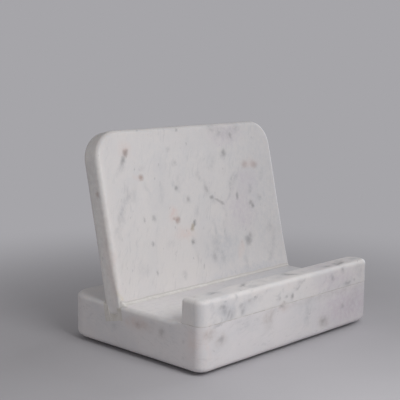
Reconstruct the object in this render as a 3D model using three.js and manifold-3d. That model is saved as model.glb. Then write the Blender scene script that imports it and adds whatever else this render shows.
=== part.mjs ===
// Marble cookbook stand: a thick base with a slot sawn across it, a panel that leans back in the slot,
// a lip glued along the front edge, the adhesive that holds them, and four rubber pads underneath.
//
// Units are millimetres. X runs along the width, +Y to the back and +Z up.
// The origin is the middle of the footprint, on the surface that the stand rests on.
import * as THREE from "three";
import { mergeVertices } from "three/addons/utils/BufferGeometryUtils.js";
import Module from "manifold-3d";

const wasm = await Module();
wasm.setup();

// Base slab
const BASE_WIDTH = 254;
const BASE_DEPTH = 182;
const BASE_THICKNESS = 42.2;
const BASE_FRONT_CORNER = 9; // plan radius of the two front corners
const BASE_REAR_CORNER = 25; // plan radius of the two rear corners
const BASE_TOP_ARRIS = 4; // hand-rounded edge round the open part of the top
const BASE_BOTTOM_ARRIS = 5;

// Front lip
const LIP_DEPTH = 25;
const LIP_THICKNESS = 23;
const LIP_REAR_LEFT_CORNER = 3; // nearly square
const LIP_REAR_RIGHT_CORNER = 11; // with the front corner it makes a round nose
const LIP_TOP_ARRIS = 4;
const LIP_BOTTOM_ARRIS = 0.5; // only dulled, so that the glue line stays fine

// Back panel
const PANEL_THICKNESS = 22;
const PANEL_REACH = 164.7; // up the front face, from the top of the base to the panel's top edge
const PANEL_TILT = THREE.MathUtils.degToRad(12.9); // lean from upright
const PANEL_SETBACK = 104.8; // from the front of the base to the panel's face, at the top of the base
const PANEL_END_INSET = 0.3; // each end stops this far inside the side of the base
const PANEL_TOP_CORNER = 28;
const PANEL_FOOT_CORNER = 1;
const PANEL_ARRIS = 4.5;

// Joints
const SLOT_DEPTH = 14; // along the panel's face
const SLOT_CLEARANCE = 1.2; // left for adhesive in front of, behind and under the panel's foot
const SEAT_GAP = 0.3; // kept between a set piece and the piece it is bedded on
const JOINT_RECESS = 0.2; // a wiped joint stays this far behind the stone round it
const LIP_FILM = 0.5; // thickness of the glue line under the lip
const BEAD_LEG = 3.2; // height and width of the bead along the panel's foot
const BEAD_EDGE = 0.5; // thickness of the bead at its two edges
const BEAD_END_INSET = 2; // the bead stops this far inside the side of the base
const BEAD_END_ROUNDING = 3;

// Pads
const PAD_DIAMETER = 16;
const PAD_HEIGHT = 3;
const PAD_EDGE = 0.6; // rounding of the pad's lower rim
const PAD_INSET = 30; // from the pad's middle to the two nearest sides of the base

// Fineness of the round stretches
const CORNER_STEPS = 12; // per quarter turn in plan
const ARRIS_STEPS = 6; // per quarter turn across an edge
const BEAD_STEPS = 10;
const PAD_STEPS = 36;
const SHARPEST_CORNER = 0.05; // an outline keeps at least this radius when it is drawn in
const WELD_DISTANCE = 1e-4; // points closer than this are one point

// Levels and places that follow from the sizes
const BASE_BOTTOM = PAD_HEIGHT;
const BASE_TOP = BASE_BOTTOM + BASE_THICKNESS;
const LIP_BOTTOM = BASE_TOP + LIP_FILM;
const BASE_FRONT = -BASE_DEPTH / 2;
const BASE_REAR = BASE_DEPTH / 2;
const LIP_REAR = BASE_FRONT + LIP_DEPTH;
const LIP_TOP = LIP_BOTTOM + LIP_THICKNESS;
const PANEL_WIDTH = BASE_WIDTH - 2 * PANEL_END_INSET;
const OVERRUN = 20; // how far a cutting tool runs past the stone

// Finishes
const marble = { color: 0xe4e2e0, roughness: 0.42, metalness: 0 };
const finishes = {
  base: new THREE.MeshStandardMaterial(marble),
  lip: new THREE.MeshStandardMaterial(marble),
  panel: new THREE.MeshStandardMaterial(marble),
  adhesive: new THREE.MeshStandardMaterial({ color: 0xd6cfbf, roughness: 0.55, metalness: 0 }),
  rubber: new THREE.MeshStandardMaterial({ color: 0x2b2a2a, roughness: 0.8, metalness: 0 }),
};

// Solids for cutting and joining

/** A closed geometry, moved by a matrix, as a solid. */
function solidFrom(geometry, matrix = new THREE.Matrix4()) {
  const bare = geometry.clone().applyMatrix4(matrix);
  bare.deleteAttribute("normal");
  bare.deleteAttribute("uv");
  const merged = mergeVertices(bare, WELD_DISTANCE);
  return new wasm.Manifold(
    new wasm.Mesh({
      numProp: 3,
      vertProperties: new Float32Array(merged.attributes.position.array),
      triVerts: new Uint32Array(merged.index.array),
    }),
  );
}

/** A solid as a geometry again. */
function geometryFrom(solid) {
  const mesh = solid.getMesh();
  const geometry = new THREE.BufferGeometry();
  geometry.setAttribute("position", new THREE.BufferAttribute(new Float32Array(mesh.vertProperties), 3));
  geometry.setIndex(new THREE.BufferAttribute(new Uint32Array(mesh.triVerts), 1));
  geometry.computeVertexNormals();
  return geometry;
}

// Plates with rounded corners and rounded edges

/**
 * The outline of a plate with four rounded corners, drawn in by `inset` all round.
 * The corners come in the order front right, rear right, rear left, front left. Each is a quarter circle
 * of its radius less the inset, so every outline of one plate has the same number of points.
 */
function plateOutline(plate, inset) {
  const corners = [
    { x: plate.right, y: plate.front, inwardX: -1, inwardY: 1, radius: plate.radii.frontRight },
    { x: plate.right, y: plate.rear, inwardX: -1, inwardY: -1, radius: plate.radii.rearRight },
    { x: plate.left, y: plate.rear, inwardX: 1, inwardY: -1, radius: plate.radii.rearLeft },
    { x: plate.left, y: plate.front, inwardX: 1, inwardY: 1, radius: plate.radii.frontLeft },
  ];
  return corners.flatMap((corner, quarter) => {
    const radius = Math.max(corner.radius - inset, SHARPEST_CORNER);
    const middleX = corner.x + corner.inwardX * (inset + radius);
    const middleY = corner.y + corner.inwardY * (inset + radius);
    return Array.from({ length: CORNER_STEPS + 1 }, (_, step) => {
      const angle = (Math.PI / 2) * (quarter - 1 + step / CORNER_STEPS);
      return [middleX + radius * Math.cos(angle), middleY + radius * Math.sin(angle)];
    });
  });
}

/** An outline at a height. */
function raised(outline, z) {
  return outline.map(([x, y]) => [x, y, z]);
}

/**
 * A plate lofted from its lower face to its upper face. Along each edge the outline draws in by
 * r (1 - cos t) at a distance of r (1 - sin t) from the face: a quarter circle of the edge's radius r.
 */
function roundedPlate(plate) {
  const quarter = Array.from({ length: ARRIS_STEPS + 1 }, (_, step) => ((Math.PI / 2) * step) / ARRIS_STEPS);
  const ringAt = (t, arris, level) => {
    const outline = plateOutline(plate, arris * (1 - Math.cos(t)));
    return raised(outline, level(arris * (1 - Math.sin(t))));
  };
  const lower = quarter.toReversed().map((t) => ringAt(t, plate.lowerArris, (d) => plate.bottom + d));
  const upper = quarter.map((t) => ringAt(t, plate.upperArris, (d) => plate.top - d));
  return loft([...lower, ...upper]);
}

/** The same plate with every face moved out by `growth`, or in where it is negative. */
function grownPlate(plate, growth) {
  const grown = (radius) => Math.max(radius + growth, SHARPEST_CORNER);
  return {
    left: plate.left - growth,
    right: plate.right + growth,
    front: plate.front - growth,
    rear: plate.rear + growth,
    bottom: plate.bottom - growth,
    top: plate.top + growth,
    radii: Object.fromEntries(Object.entries(plate.radii).map(([name, radius]) => [name, grown(radius)])),
    lowerArris: grown(plate.lowerArris),
    upperArris: grown(plate.upperArris),
  };
}

/**
 * A closed skin over rings of equally many points. Each end is closed by a fan from its ring's first point,
 * which sees all the others.
 */
function loft(rings) {
  const around = rings[0].length;
  const faces = [];
  rings.slice(1).forEach((_, ring) => {
    for (let i = 0; i < around; i++) {
      const a = ring * around + i;
      const b = ring * around + ((i + 1) % around);
      faces.push(a, b, b + around, a, b + around, a + around);
    }
  });
  const last = (rings.length - 1) * around;
  for (let i = 1; i + 1 < around; i++) {
    faces.push(0, i + 1, i);
    faces.push(last, last + i, last + i + 1);
  }
  const geometry = new THREE.BufferGeometry();
  geometry.setAttribute("position", new THREE.Float32BufferAttribute(rings.flat(2), 3));
  geometry.setIndex(faces);
  geometry.computeVertexNormals();
  return geometry;
}

// The three stones

const basePlate = {
  left: -BASE_WIDTH / 2,
  right: BASE_WIDTH / 2,
  front: BASE_FRONT,
  rear: BASE_REAR,
  bottom: BASE_BOTTOM,
  top: BASE_TOP,
  radii: {
    frontRight: BASE_FRONT_CORNER,
    rearRight: BASE_REAR_CORNER,
    rearLeft: BASE_REAR_CORNER,
    frontLeft: BASE_FRONT_CORNER,
  },
  lowerArris: BASE_BOTTOM_ARRIS,
  upperArris: BASE_TOP_ARRIS,
};

// The lip is ground flush with the base in front and at both ends, so it has the base's front corners.
const lipSide = LIP_DEPTH - BASE_FRONT_CORNER;
const lipPlate = {
  left: basePlate.left,
  right: basePlate.right,
  front: basePlate.front,
  rear: LIP_REAR,
  bottom: LIP_BOTTOM,
  top: LIP_TOP,
  radii: {
    frontRight: BASE_FRONT_CORNER,
    rearRight: Math.min(LIP_REAR_RIGHT_CORNER, lipSide),
    rearLeft: Math.min(LIP_REAR_LEFT_CORNER, lipSide),
    frontLeft: BASE_FRONT_CORNER,
  },
  lowerArris: LIP_BOTTOM_ARRIS,
  upperArris: LIP_TOP_ARRIS,
};

// The panel is drawn lying down: X along its width, Y from its foot to its top edge, Z out of its face.
// Y is zero where the face passes the top of the base, and Z is zero on the face.
const panelPlate = {
  left: -PANEL_WIDTH / 2,
  right: PANEL_WIDTH / 2,
  front: -SLOT_DEPTH + SLOT_CLEARANCE,
  rear: PANEL_REACH,
  bottom: -PANEL_THICKNESS,
  top: 0,
  radii: {
    frontRight: PANEL_FOOT_CORNER,
    rearRight: PANEL_TOP_CORNER,
    rearLeft: PANEL_TOP_CORNER,
    frontLeft: PANEL_FOOT_CORNER,
  },
  lowerArris: PANEL_ARRIS,
  upperArris: PANEL_ARRIS,
};

/** Stands a piece that is drawn lying down in the panel's place. */
function setLikePanel(object) {
  object.position.set(0, BASE_FRONT + PANEL_SETBACK, BASE_TOP);
  object.rotation.x = Math.PI / 2 - PANEL_TILT;
  object.updateMatrix();
  return object;
}
const panelPlace = setLikePanel(new THREE.Object3D()).matrix;

/** The straight slot across the base, with its walls drawn in by `inset`. It opens above the base. */
function slotSpace(inset) {
  const height = SLOT_DEPTH - inset + OVERRUN;
  const breadth = PANEL_THICKNESS + 2 * (SLOT_CLEARANCE - inset);
  const space = new THREE.BoxGeometry(BASE_WIDTH + 2 * OVERRUN, height, breadth);
  space.translate(0, OVERRUN - height / 2, -PANEL_THICKNESS / 2);
  return solidFrom(space, panelPlace);
}

/** The base: rounded along its open top edges, square under the lip, and sawn for the panel. */
function baseSlab() {
  const eased = solidFrom(roundedPlate(basePlate));
  const square = solidFrom(roundedPlate({ ...basePlate, upperArris: LIP_BOTTOM_ARRIS }));
  const footprint = plateOutline(lipPlate, 0);
  const levels = [BASE_TOP - BASE_TOP_ARRIS - OVERRUN, BASE_TOP + OVERRUN];
  const underLip = loft(levels.map((z) => raised(footprint, z)));
  return geometryFrom(eased.add(square.intersect(solidFrom(underLip))).subtract(slotSpace(0)));
}

// The joints

/** The bed of adhesive that wraps the panel's foot in its slot, wiped back from the faces of the base. */
function slotAdhesive() {
  const withinBase = solidFrom(roundedPlate(grownPlate(basePlate, -JOINT_RECESS)));
  const foot = solidFrom(roundedPlate(grownPlate(panelPlate, SEAT_GAP)), panelPlace);
  return geometryFrom(slotSpace(SEAT_GAP).intersect(withinBase).subtract(foot));
}

/** The thin film of glue between the base and the lip. */
function lipAdhesive() {
  const outline = plateOutline(lipPlate, JOINT_RECESS);
  return loft([BASE_TOP, LIP_BOTTOM].map((z) => raised(outline, z)));
}

/**
 * The hollow bead along the panel's foot. Its section is a cove: an arc that would touch the panel's face
 * and the top of the base, each at BEAD_LEG from their corner, lifted off both by the bead's edge.
 * At each end it shrinks towards the corner along a quarter circle.
 */
function footBead() {
  const angle = Math.PI / 2 + PANEL_TILT;
  const radius = BEAD_LEG * Math.tan(angle / 2);
  const up = new THREE.Vector2(Math.sin(PANEL_TILT), Math.cos(PANEL_TILT));
  const out = new THREE.Vector2(-Math.cos(PANEL_TILT), Math.sin(PANEL_TILT));
  const corner = new THREE.Vector2(-SEAT_GAP / Math.cos(PANEL_TILT), 0);
  const middle = new THREE.Vector2(-BEAD_LEG, radius);
  const onPanel = up.clone().multiplyScalar(BEAD_LEG).addScaledVector(out, SEAT_GAP);
  const arc = Array.from({ length: BEAD_STEPS + 1 }, (_, step) => {
    const turn = -PANEL_TILT - (Math.PI / 2 - PANEL_TILT) * (step / BEAD_STEPS);
    const touch = new THREE.Vector2(Math.cos(turn), Math.sin(turn));
    return touch.multiplyScalar(radius - BEAD_EDGE).add(middle);
  });
  const section = [corner, onPanel, ...arc, new THREE.Vector2(-BEAD_LEG, 0)];
  const half = BASE_WIDTH / 2 - BEAD_END_INSET;
  const quarter = Array.from({ length: ARRIS_STEPS }, (_, step) => ((Math.PI / 2) * step) / ARRIS_STEPS);
  const stations = quarter.map((t) => ({
    x: half - BEAD_END_ROUNDING * (1 - Math.sin(t)),
    scale: Math.cos(t),
  }));
  const along = [...stations.toReversed().map(({ x, scale }) => ({ x: -x, scale })), ...stations];
  const face = BASE_FRONT + PANEL_SETBACK;
  return loft(
    along.map(({ x, scale }) =>
      section.map((point) => {
        const drawnIn = point.clone().sub(corner).multiplyScalar(scale).add(corner);
        return [x, face + drawnIn.x, BASE_TOP + drawnIn.y];
      }),
    ),
  );
}

// The pads

/** A round rubber pad, turned about its own axis, with its rim rounded where it meets the table. */
function pad() {
  const radius = PAD_DIAMETER / 2;
  const rim = Array.from({ length: ARRIS_STEPS + 1 }, (_, step) => {
    const t = ((Math.PI / 2) * step) / ARRIS_STEPS;
    return new THREE.Vector2(radius - PAD_EDGE * (1 - Math.sin(t)), PAD_EDGE * (1 - Math.cos(t)));
  });
  const top = [new THREE.Vector2(radius, PAD_HEIGHT), new THREE.Vector2(0, PAD_HEIGHT)];
  return new THREE.LatheGeometry([new THREE.Vector2(0, 0), ...rim, ...top], PAD_STEPS).rotateX(Math.PI / 2);
}

// Assembly

const stand = new THREE.Group();
stand.name = "cookbook_stand";

function addPiece(name, geometry, material) {
  const piece = new THREE.Mesh(geometry, material);
  piece.name = name;
  stand.add(piece);
  return piece;
}

addPiece("base_slab", baseSlab(), finishes.base);
addPiece("front_lip", roundedPlate(lipPlate), finishes.lip);
setLikePanel(addPiece("back_panel", roundedPlate(panelPlate), finishes.panel));
addPiece("slot_adhesive", slotAdhesive(), finishes.adhesive);
addPiece("lip_adhesive", lipAdhesive(), finishes.adhesive);
addPiece("foot_bead", footBead(), finishes.adhesive);

const padColumns = { left: basePlate.left + PAD_INSET, right: basePlate.right - PAD_INSET };
const padRows = { front: basePlate.front + PAD_INSET, rear: basePlate.rear - PAD_INSET };
for (const [end, y] of Object.entries(padRows)) {
  for (const [side, x] of Object.entries(padColumns)) {
    addPiece(`pad_${end}_${side}`, pad(), finishes.rubber).position.set(x, y, 0);
  }
}

export default stand;
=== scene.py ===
# %% [markdown]
# # A marble cookbook stand
#
# Three pieces of white marble make the stand: a thick base, a lip glued along its front edge and a panel
# that leans back in a slot sawn across the base. Cream adhesive fills the joints and four rubber pads lift
# the base off the table. The lesson shapes each stone as a surface worked out with numpy, then gives it a
# marble that lives in three dimensions, so the pattern runs on round the edges as it does in a real block.

import math

import bmesh
import bpy
import numpy as np
from mathutils import Euler, Matrix, Vector


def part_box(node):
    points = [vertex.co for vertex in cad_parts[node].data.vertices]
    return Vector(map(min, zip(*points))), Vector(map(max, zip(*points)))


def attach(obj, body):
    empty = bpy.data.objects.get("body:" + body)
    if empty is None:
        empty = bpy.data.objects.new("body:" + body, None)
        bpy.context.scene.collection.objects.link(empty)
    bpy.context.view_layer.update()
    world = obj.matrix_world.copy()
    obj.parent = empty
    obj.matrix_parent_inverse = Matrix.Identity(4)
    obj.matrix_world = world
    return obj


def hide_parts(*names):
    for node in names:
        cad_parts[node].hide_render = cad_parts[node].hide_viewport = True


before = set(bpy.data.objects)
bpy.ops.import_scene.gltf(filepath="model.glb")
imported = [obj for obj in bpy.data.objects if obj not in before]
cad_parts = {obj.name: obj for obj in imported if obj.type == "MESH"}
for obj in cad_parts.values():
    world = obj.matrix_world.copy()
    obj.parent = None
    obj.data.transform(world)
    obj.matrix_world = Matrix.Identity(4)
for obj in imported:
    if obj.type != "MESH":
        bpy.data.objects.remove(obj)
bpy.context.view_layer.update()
print("frame:", sorted(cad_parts))

# %% [markdown]
# ## The camera
#
# The photograph was taken from the front left, a little above the lip, with a long lens. The place and the
# turn come from a perspective fit to the stand's straight edges. The picture is square, so one lens length
# sets both angles of view. The camera comes first, because it decides how fine each piece has to be.

# %% The camera
CAMERA_PLACE = (-0.71022, -0.63833, 0.28156)
CAMERA_TURN_DEG = (81.159, -0.643, -46.543)
CAMERA_LENS = 86.72

camera_data = bpy.data.cameras.new("photo_view")
camera_data.lens = CAMERA_LENS
camera = bpy.data.objects.new("photo_view", camera_data)
camera.location = CAMERA_PLACE
camera.rotation_euler = [math.radians(a) for a in CAMERA_TURN_DEG]
bpy.context.scene.collection.objects.link(camera)
bpy.context.scene.camera = camera
print("camera at", CAMERA_PLACE)

# %% [markdown]
# ## Sizes
#
# All sizes are in millimetres, as a mason would note them. The overall sizes are read from the frame, so
# the looks stay in step with the solids. The corner radii are small enough to write down once more.

# %% Sizes read from the frame
MM = 0.001


def node_box(name):
    """A node's lowest and highest corners in millimetres, as two arrays."""
    low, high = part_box(name)
    return np.array(low) / MM, np.array(high) / MM


base_low, base_high = node_box("base_slab")
lip_low, lip_high = node_box("front_lip")
print("base", base_high - base_low, "lip", lip_high - lip_low)

# %% Sizes written down
BASE_FRONT_CORNER = 9
BASE_REAR_CORNER = 25
LIP_REAR_LEFT_CORNER = 3
LIP_REAR_RIGHT_CORNER = 11
BASE_TOP_ARRIS = 4
BASE_BOTTOM_ARRIS = 5
LIP_TOP_ARRIS = 4
SEAM_ARRIS = 0.15
PANEL_THICKNESS = 22
PANEL_REACH = 164.7
PANEL_TILT = math.radians(12.9)
PANEL_FOOT_Y = 13.8
PANEL_TOP_CORNER = 28
PANEL_ARRIS = 4.5
PANEL_END_INSET = 0.3
SLOT_DEPTH = 14
SLOT_CLEARANCE = 1.2
print("panel leans by", round(math.degrees(PANEL_TILT), 1), "degrees")

# %% [markdown]
# ## Hand-finished stone
#
# Marble like this is sawn, glued up and then rubbed down by hand. Its faces are a tenth of a millimetre or
# two away from flat and the rounding of its edges swells and thins along their length. A bevel modifier
# would give one even radius everywhere. Here the unevenness is part of the formula: a smooth noise made of
# a few sine waves is cheap, has no grid of its own and gives the same value wherever two surfaces meet.

# %% Smooth noise
WAVES = 10
WAVE_SUM = 4


def smooth_noise(points, wavelength, seed):
    """Sine waves in random directions, each about one wavelength long, added up and divided by WAVE_SUM to
    stay mostly between -1 and 1. Points are the last axis of the array."""
    rng = np.random.default_rng(seed)
    directions = rng.normal(size=(WAVES, 3))
    directions /= np.linalg.norm(directions, axis=1, keepdims=True)
    lengths = wavelength * rng.uniform(0.7, 1.7, size=(WAVES, 1))
    turns = points @ (directions / lengths).T + rng.uniform(0, 1, WAVES)
    return np.sin(2 * np.pi * turns).sum(axis=-1) / WAVE_SUM


print("noise sample", smooth_noise(np.zeros((1, 3)), 30, seed=1))

# %% [markdown]
# ## From grids to closed meshes
#
# Most pieces are a grid of points worked out with numpy. Only the order of the points in the grid says
# which four make a face, so the faces come from whole arrays too. A grid that closes on itself has doubled
# points at its seams and poles. They are merged, and then the sign of the volume tells whether the faces
# point outwards.

# %% Grids to meshes
SHARP_DEG = 40


def grid_faces(rows, columns, wrap):
    """Quads between neighbouring rows of points. With wrap, the last column joins the first."""
    last = columns if wrap else columns - 1
    row, column = np.meshgrid(np.arange(rows - 1), np.arange(last), indexing="ij")
    after = (column + 1) % columns
    corners = [row * columns + column, row * columns + after]
    corners += [(row + 1) * columns + after, (row + 1) * columns + column]
    return np.stack([c.ravel() for c in corners], axis=1)


def piece_from(name, points, faces, sharp_deg=SHARP_DEG):
    """A mesh object from points in millimetres: doubles merged, faces smooth, edges sharper than the angle
    kept sharp. The object sits at the origin."""
    mesh = bpy.data.meshes.new(name)
    mesh.from_pydata((points.reshape(-1, 3) * MM).tolist(), [], [list(f) for f in faces])
    piece = bpy.data.objects.new(name, mesh)
    bpy.context.scene.collection.objects.link(piece)
    close_up(mesh)
    mesh.shade_smooth()
    mesh.set_sharp_from_angle(angle=math.radians(sharp_deg))
    return piece


def close_up(mesh, distance=1e-7):
    """Points closer than the distance become one, and a surface that encloses a negative volume is turned
    to face outwards."""
    work = bmesh.new()
    work.from_mesh(mesh)
    bmesh.ops.remove_doubles(work, verts=work.verts, dist=distance)
    if work.calc_volume(signed=True) < 0:
        bmesh.ops.reverse_faces(work, faces=work.faces)
    work.to_mesh(mesh)
    work.free()


def litres(mesh):
    """The volume that a mesh encloses, and a check on its holes: open edges are printed."""
    work = bmesh.new()
    work.from_mesh(mesh)
    volume = work.calc_volume(signed=True) * 1000
    rim = sum(edge.is_boundary for edge in work.edges)
    work.free()
    if rim:
        print("open edges:", rim)
    return volume


def take_over(piece, slot, *nodes):
    """The piece stands for these nodes of the frame: it is attached to the root body and the nodes are
    hidden. The slot is not used.
    """
    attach(piece, "root")
    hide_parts(*nodes)
    print(piece.name, len(piece.data.polygons), "faces", round(litres(piece.data), 4), "litres")


print("faces of a closed grid, 3 by 4 points:", len(grid_faces(3, 4, wrap=True)))

# %% [markdown]
# ## A plate with rounded corners and rounded edges
#
# Base, lip and panel are all plates: an outline with four rounded corners, and a rounding along every edge.
# The surface has two parameters. One runs round the outline. The other runs from the middle of the lower
# face out to its edge, over the lower rounding, up the side, over the upper rounding and in to the middle
# again. Each ring of points is the outline drawn in by some inset, at some height. Drawn in by half the
# depth, the outline closes on a line, so the two faces need no separate cap.

# %% The outline and its insets
ARC_STEPS = 14
LONG_STEPS = 120
SHORT_STEPS = 56


def outline_samples():
    """For each point round the outline: the corner it starts from, the corner it leads to, the angles at
    both, and how far along the straight between them it is. Corners: front right, rear right, rear left,
    front left."""
    start, end, angle_a, angle_b, share = [], [], [], [], []
    for k in range(4):
        turn = np.pi / 2 * (k - 1 + np.arange(ARC_STEPS + 1) / ARC_STEPS)
        steps = SHORT_STEPS if k % 2 == 0 else LONG_STEPS
        straight = np.arange(1, steps) / steps
        start += [np.full(len(turn) + len(straight), k)]
        end += [np.full(len(turn), k), np.full(len(straight), (k + 1) % 4)]
        angle_a += [turn, np.full(len(straight), turn[-1])]
        angle_b += [turn, np.full(len(straight), turn[-1])]
        share += [np.zeros(len(turn)), straight]
    return [np.concatenate(part) for part in (start, end, angle_a, angle_b, share)]


def inset_outline(plate, inset):
    """Points round the outline, drawn in by inset, an array of rings by points. A corner is an arc whose
    radius is its own less the inset, or a tenth of what is left of the half depth where that is larger, so
    the points of an arc only meet in the last ring. A straight joins one arc to the next."""
    start, end, angle_a, angle_b, share = outline_samples()
    corner_x = np.array([plate["right"], plate["right"], plate["left"], plate["left"]])
    corner_y = np.array([plate["front"], plate["rear"], plate["rear"], plate["front"]])
    inward_x = np.array([-1, -1, 1, 1])
    inward_y = np.array([1, -1, -1, 1])
    radius = np.array(plate["corners"], float)
    left_over = (plate["rear"] - plate["front"]) / 2 - inset

    def on_arc(corner, angle):
        rest = np.maximum(radius[corner] - inset, left_over / 10)
        reach = inset + rest
        x = corner_x[corner] + inward_x[corner] * reach + rest * np.cos(angle)
        y = corner_y[corner] + inward_y[corner] * reach + rest * np.sin(angle)
        return np.stack([x, y], axis=-1)

    a = on_arc(start, angle_a)
    b = on_arc(end, angle_b)
    return a + (b - a) * share[:, None]


def full_outline(plate):
    """The plate's own outline as points (x, y), and the same points with a third coordinate of 0."""
    plan = inset_outline(plate, np.zeros((1, 1)))[0]
    return plan, np.concatenate([plan, np.zeros((len(plan), 1))], axis=1)


print("points round an outline:", len(outline_samples()[0]))

# %% The rings of a plate
EDGE_STEPS = 8
SIDE_STEPS = 12
FACE_SPACING = 2.2
CROWDING = 1.3
FACE_WAVE = 0.12
FACE_WAVELENGTH = 60
EDGE_WAVE = 0.14
EDGE_WAVELENGTH = 45


def plate_rings(plate, seed):
    """The plate's points as rings by points round by 3. Over a rounding of radius r the inset is
    r (1 - cos t) and the distance from the face r (1 - sin t). Each radius grows by up to EDGE_WAVE of itself
    and every point sinks by up to FACE_WAVE, so the stone stays inside its nominal size. On the two faces the
    rings lie about FACE_SPACING apart and crowd towards the edge by the power CROWDING."""
    half_depth = (plate["rear"] - plate["front"]) / 2
    plan, where = full_outline(plate)
    swell = 1 + EDGE_WAVE * np.clip(0.5 + 0.5 * smooth_noise(where, EDGE_WAVELENGTH, seed), 0, 1)
    low_r = plate["low_arris"](plan) * swell
    high_r = plate["high_arris"](plan) * swell[::-1]
    turn = np.linspace(0, np.pi / 2, EDGE_STEPS + 1)[:, None]
    face_steps = round(half_depth / FACE_SPACING) + 2
    inwards = np.linspace(0, 1, face_steps + 1)[1:, None] ** CROWDING
    insets, heights, sideways = [], [], []
    for r, level, way in ((low_r, plate["bottom"], 1), (high_r, plate["top"], -1)):
        face = r + inwards * (half_depth - r)
        flat = np.full(face.shape, float(level))
        inset = np.concatenate([r * (1 - np.cos(turn)), face])
        height = np.concatenate([level + way * r * (1 - np.sin(turn)), flat])
        out = np.concatenate([np.cos(turn) * np.ones_like(r), 0 * face])
        order = slice(None, None, -1) if way == 1 else slice(None)
        insets.append(inset[order])
        heights.append(height[order])
        sideways.append(out[order])
    rise = np.linspace(0, 1, SIDE_STEPS + 1)[1:-1, None]
    side = heights[0][-1] + rise * (heights[1][0] - heights[0][-1])
    insets.insert(1, 0 * side)
    heights.insert(1, side)
    sideways.insert(1, 1 + 0 * side)
    inset, height, out = (np.concatenate(part) for part in (insets, heights, sideways))
    middle = (plate["top"] + plate["bottom"]) / 2
    rings = np.concatenate([inset_outline(plate, inset), height[..., None]], axis=-1)
    sink = FACE_WAVE * np.clip(0.5 + 0.5 * smooth_noise(rings, FACE_WAVELENGTH, seed + 1), 0, 1)
    sunk = inset_outline(plate, inset + sink * out)
    height = height - np.sign(height - middle) * sink * np.sqrt(1 - out**2)
    return np.concatenate([sunk, height[..., None]], axis=-1)


print("a rounding has", EDGE_STEPS, "steps, a side", SIDE_STEPS)

# %% Plates and their roundings


def even(radius):
    """A rounding that is the same all the way round."""
    return lambda plan: np.full(len(plan), float(radius))


def growing(small, large, start, zone):
    """A rounding that is small in front of the line y = start and grows to large over a zone behind it, along
    a smooth step 3 t^2 - 2 t^3."""

    def radius(plan):
        share = np.clip((plan[:, 1] - start) / zone, 0, 1)
        return small + (large - small) * share * share * (3 - 2 * share)

    return radius


def plate_between(low, high, corners, low_arris, high_arris):
    """A plate's sides, from its lowest and its highest corner, with its corner radii and its roundings."""
    sides = dict(zip(("left", "front", "bottom"), low)) | dict(zip(("right", "rear", "top"), high))
    return {**sides, "corners": corners, "low_arris": low_arris, "high_arris": high_arris}


def plate_piece(name, plate, seed, place=lambda points: points):
    """The plate as a closed mesh, moved by place."""
    rings = plate_rings(plate, seed)
    faces = grid_faces(rings.shape[0], rings.shape[1], wrap=True)
    return piece_from(name, place(rings), faces)


print("an even rounding at three points:", even(4)(np.zeros((3, 2))))

# %% [markdown]
# ## The lip
#
# The lip is a bar glued flush on the front of the base. Its front and its two ends were rubbed down
# together with the base, so they share the front corners. Behind, its left corner is nearly square and its
# right one is well rounded, which makes the right end a round nose. The edge at the glue line is only
# dulled.

# %% The lip
lip_corners = [BASE_FRONT_CORNER, LIP_REAR_RIGHT_CORNER, LIP_REAR_LEFT_CORNER, BASE_FRONT_CORNER]
lip_plate = plate_between(lip_low, lip_high, lip_corners, even(SEAM_ARRIS), even(LIP_TOP_ARRIS))
lip = plate_piece("lip_bar", lip_plate, seed=11)
take_over(lip, "marble", "front_lip")

# %% [markdown]
# ## The panel
#
# The panel is drawn lying down, with its face up: x along its width and y from its foot to its top edge. It
# is then stood up in its place, leaning back. The lean is a turn about the line where its face meets the
# top of the base, so the setback and the lean stay two plain numbers. Near the foot, where a rubbing block
# can't reach well, the rounding along its face is tighter: it grows from PANEL_FOOT_ARRIS to PANEL_ARRIS
# over FOOT_ZONE above the base.

# %% The panel
PANEL_FOOT_ARRIS = 2.0
PANEL_FOOT_CORNER = 1
FOOT_ZONE = 40


def lean(points):
    """Points (x, s, n) of the lying panel, s up its face and n out of it, as points in the room:
    y is the foot's place + s sin(tilt) - n cos(tilt), and z is the base's top + s cos(tilt) + n sin(tilt)."""
    x, s, n = np.moveaxis(points, -1, 0)
    y = PANEL_FOOT_Y + s * math.sin(PANEL_TILT) - n * math.cos(PANEL_TILT)
    z = base_high[2] + s * math.cos(PANEL_TILT) + n * math.sin(PANEL_TILT)
    return np.stack([x, y, z], axis=-1)


panel_plate = plate_between(
    (base_low[0] + PANEL_END_INSET, SLOT_CLEARANCE - SLOT_DEPTH, -PANEL_THICKNESS),
    (base_high[0] - PANEL_END_INSET, PANEL_REACH, 0),
    [PANEL_FOOT_CORNER, PANEL_TOP_CORNER, PANEL_TOP_CORNER, PANEL_FOOT_CORNER],
    even(PANEL_ARRIS),
    growing(PANEL_FOOT_ARRIS, PANEL_ARRIS, 0, FOOT_ZONE),
)
panel = plate_piece("leaning_panel", panel_plate, seed=23, place=lean)
take_over(panel, "marble", "back_panel")

# %% [markdown]
# ## The base and its slot
#
# The base's top edge is well rounded wherever a hand can reach it. Along the lip it is nearly square,
# because the lip was glued on first, and the rounding grows to its full size over RUN_OUT behind the lip.

# %% The base before it is sawn
RUN_OUT = 9
base_corners = [BASE_FRONT_CORNER, BASE_REAR_CORNER, BASE_REAR_CORNER, BASE_FRONT_CORNER]
base_arris = growing(SEAM_ARRIS, BASE_TOP_ARRIS, lip_high[1], RUN_OUT)
base_plate = plate_between(base_low, base_high, base_corners, even(BASE_BOTTOM_ARRIS), base_arris)
base = plate_piece("base_stone", base_plate, seed=37)
print("base before the cut:", round(litres(base.data), 4), "litres")

# %% [markdown]
# ## The saw cut
#
# The slot is cut with a boolean, as a saw would cut it: a straight bar with slightly wavy walls is taken
# out of the finished slab. The exact solver is the careful one, and the print afterwards tells whether it
# left any edge open.

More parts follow.
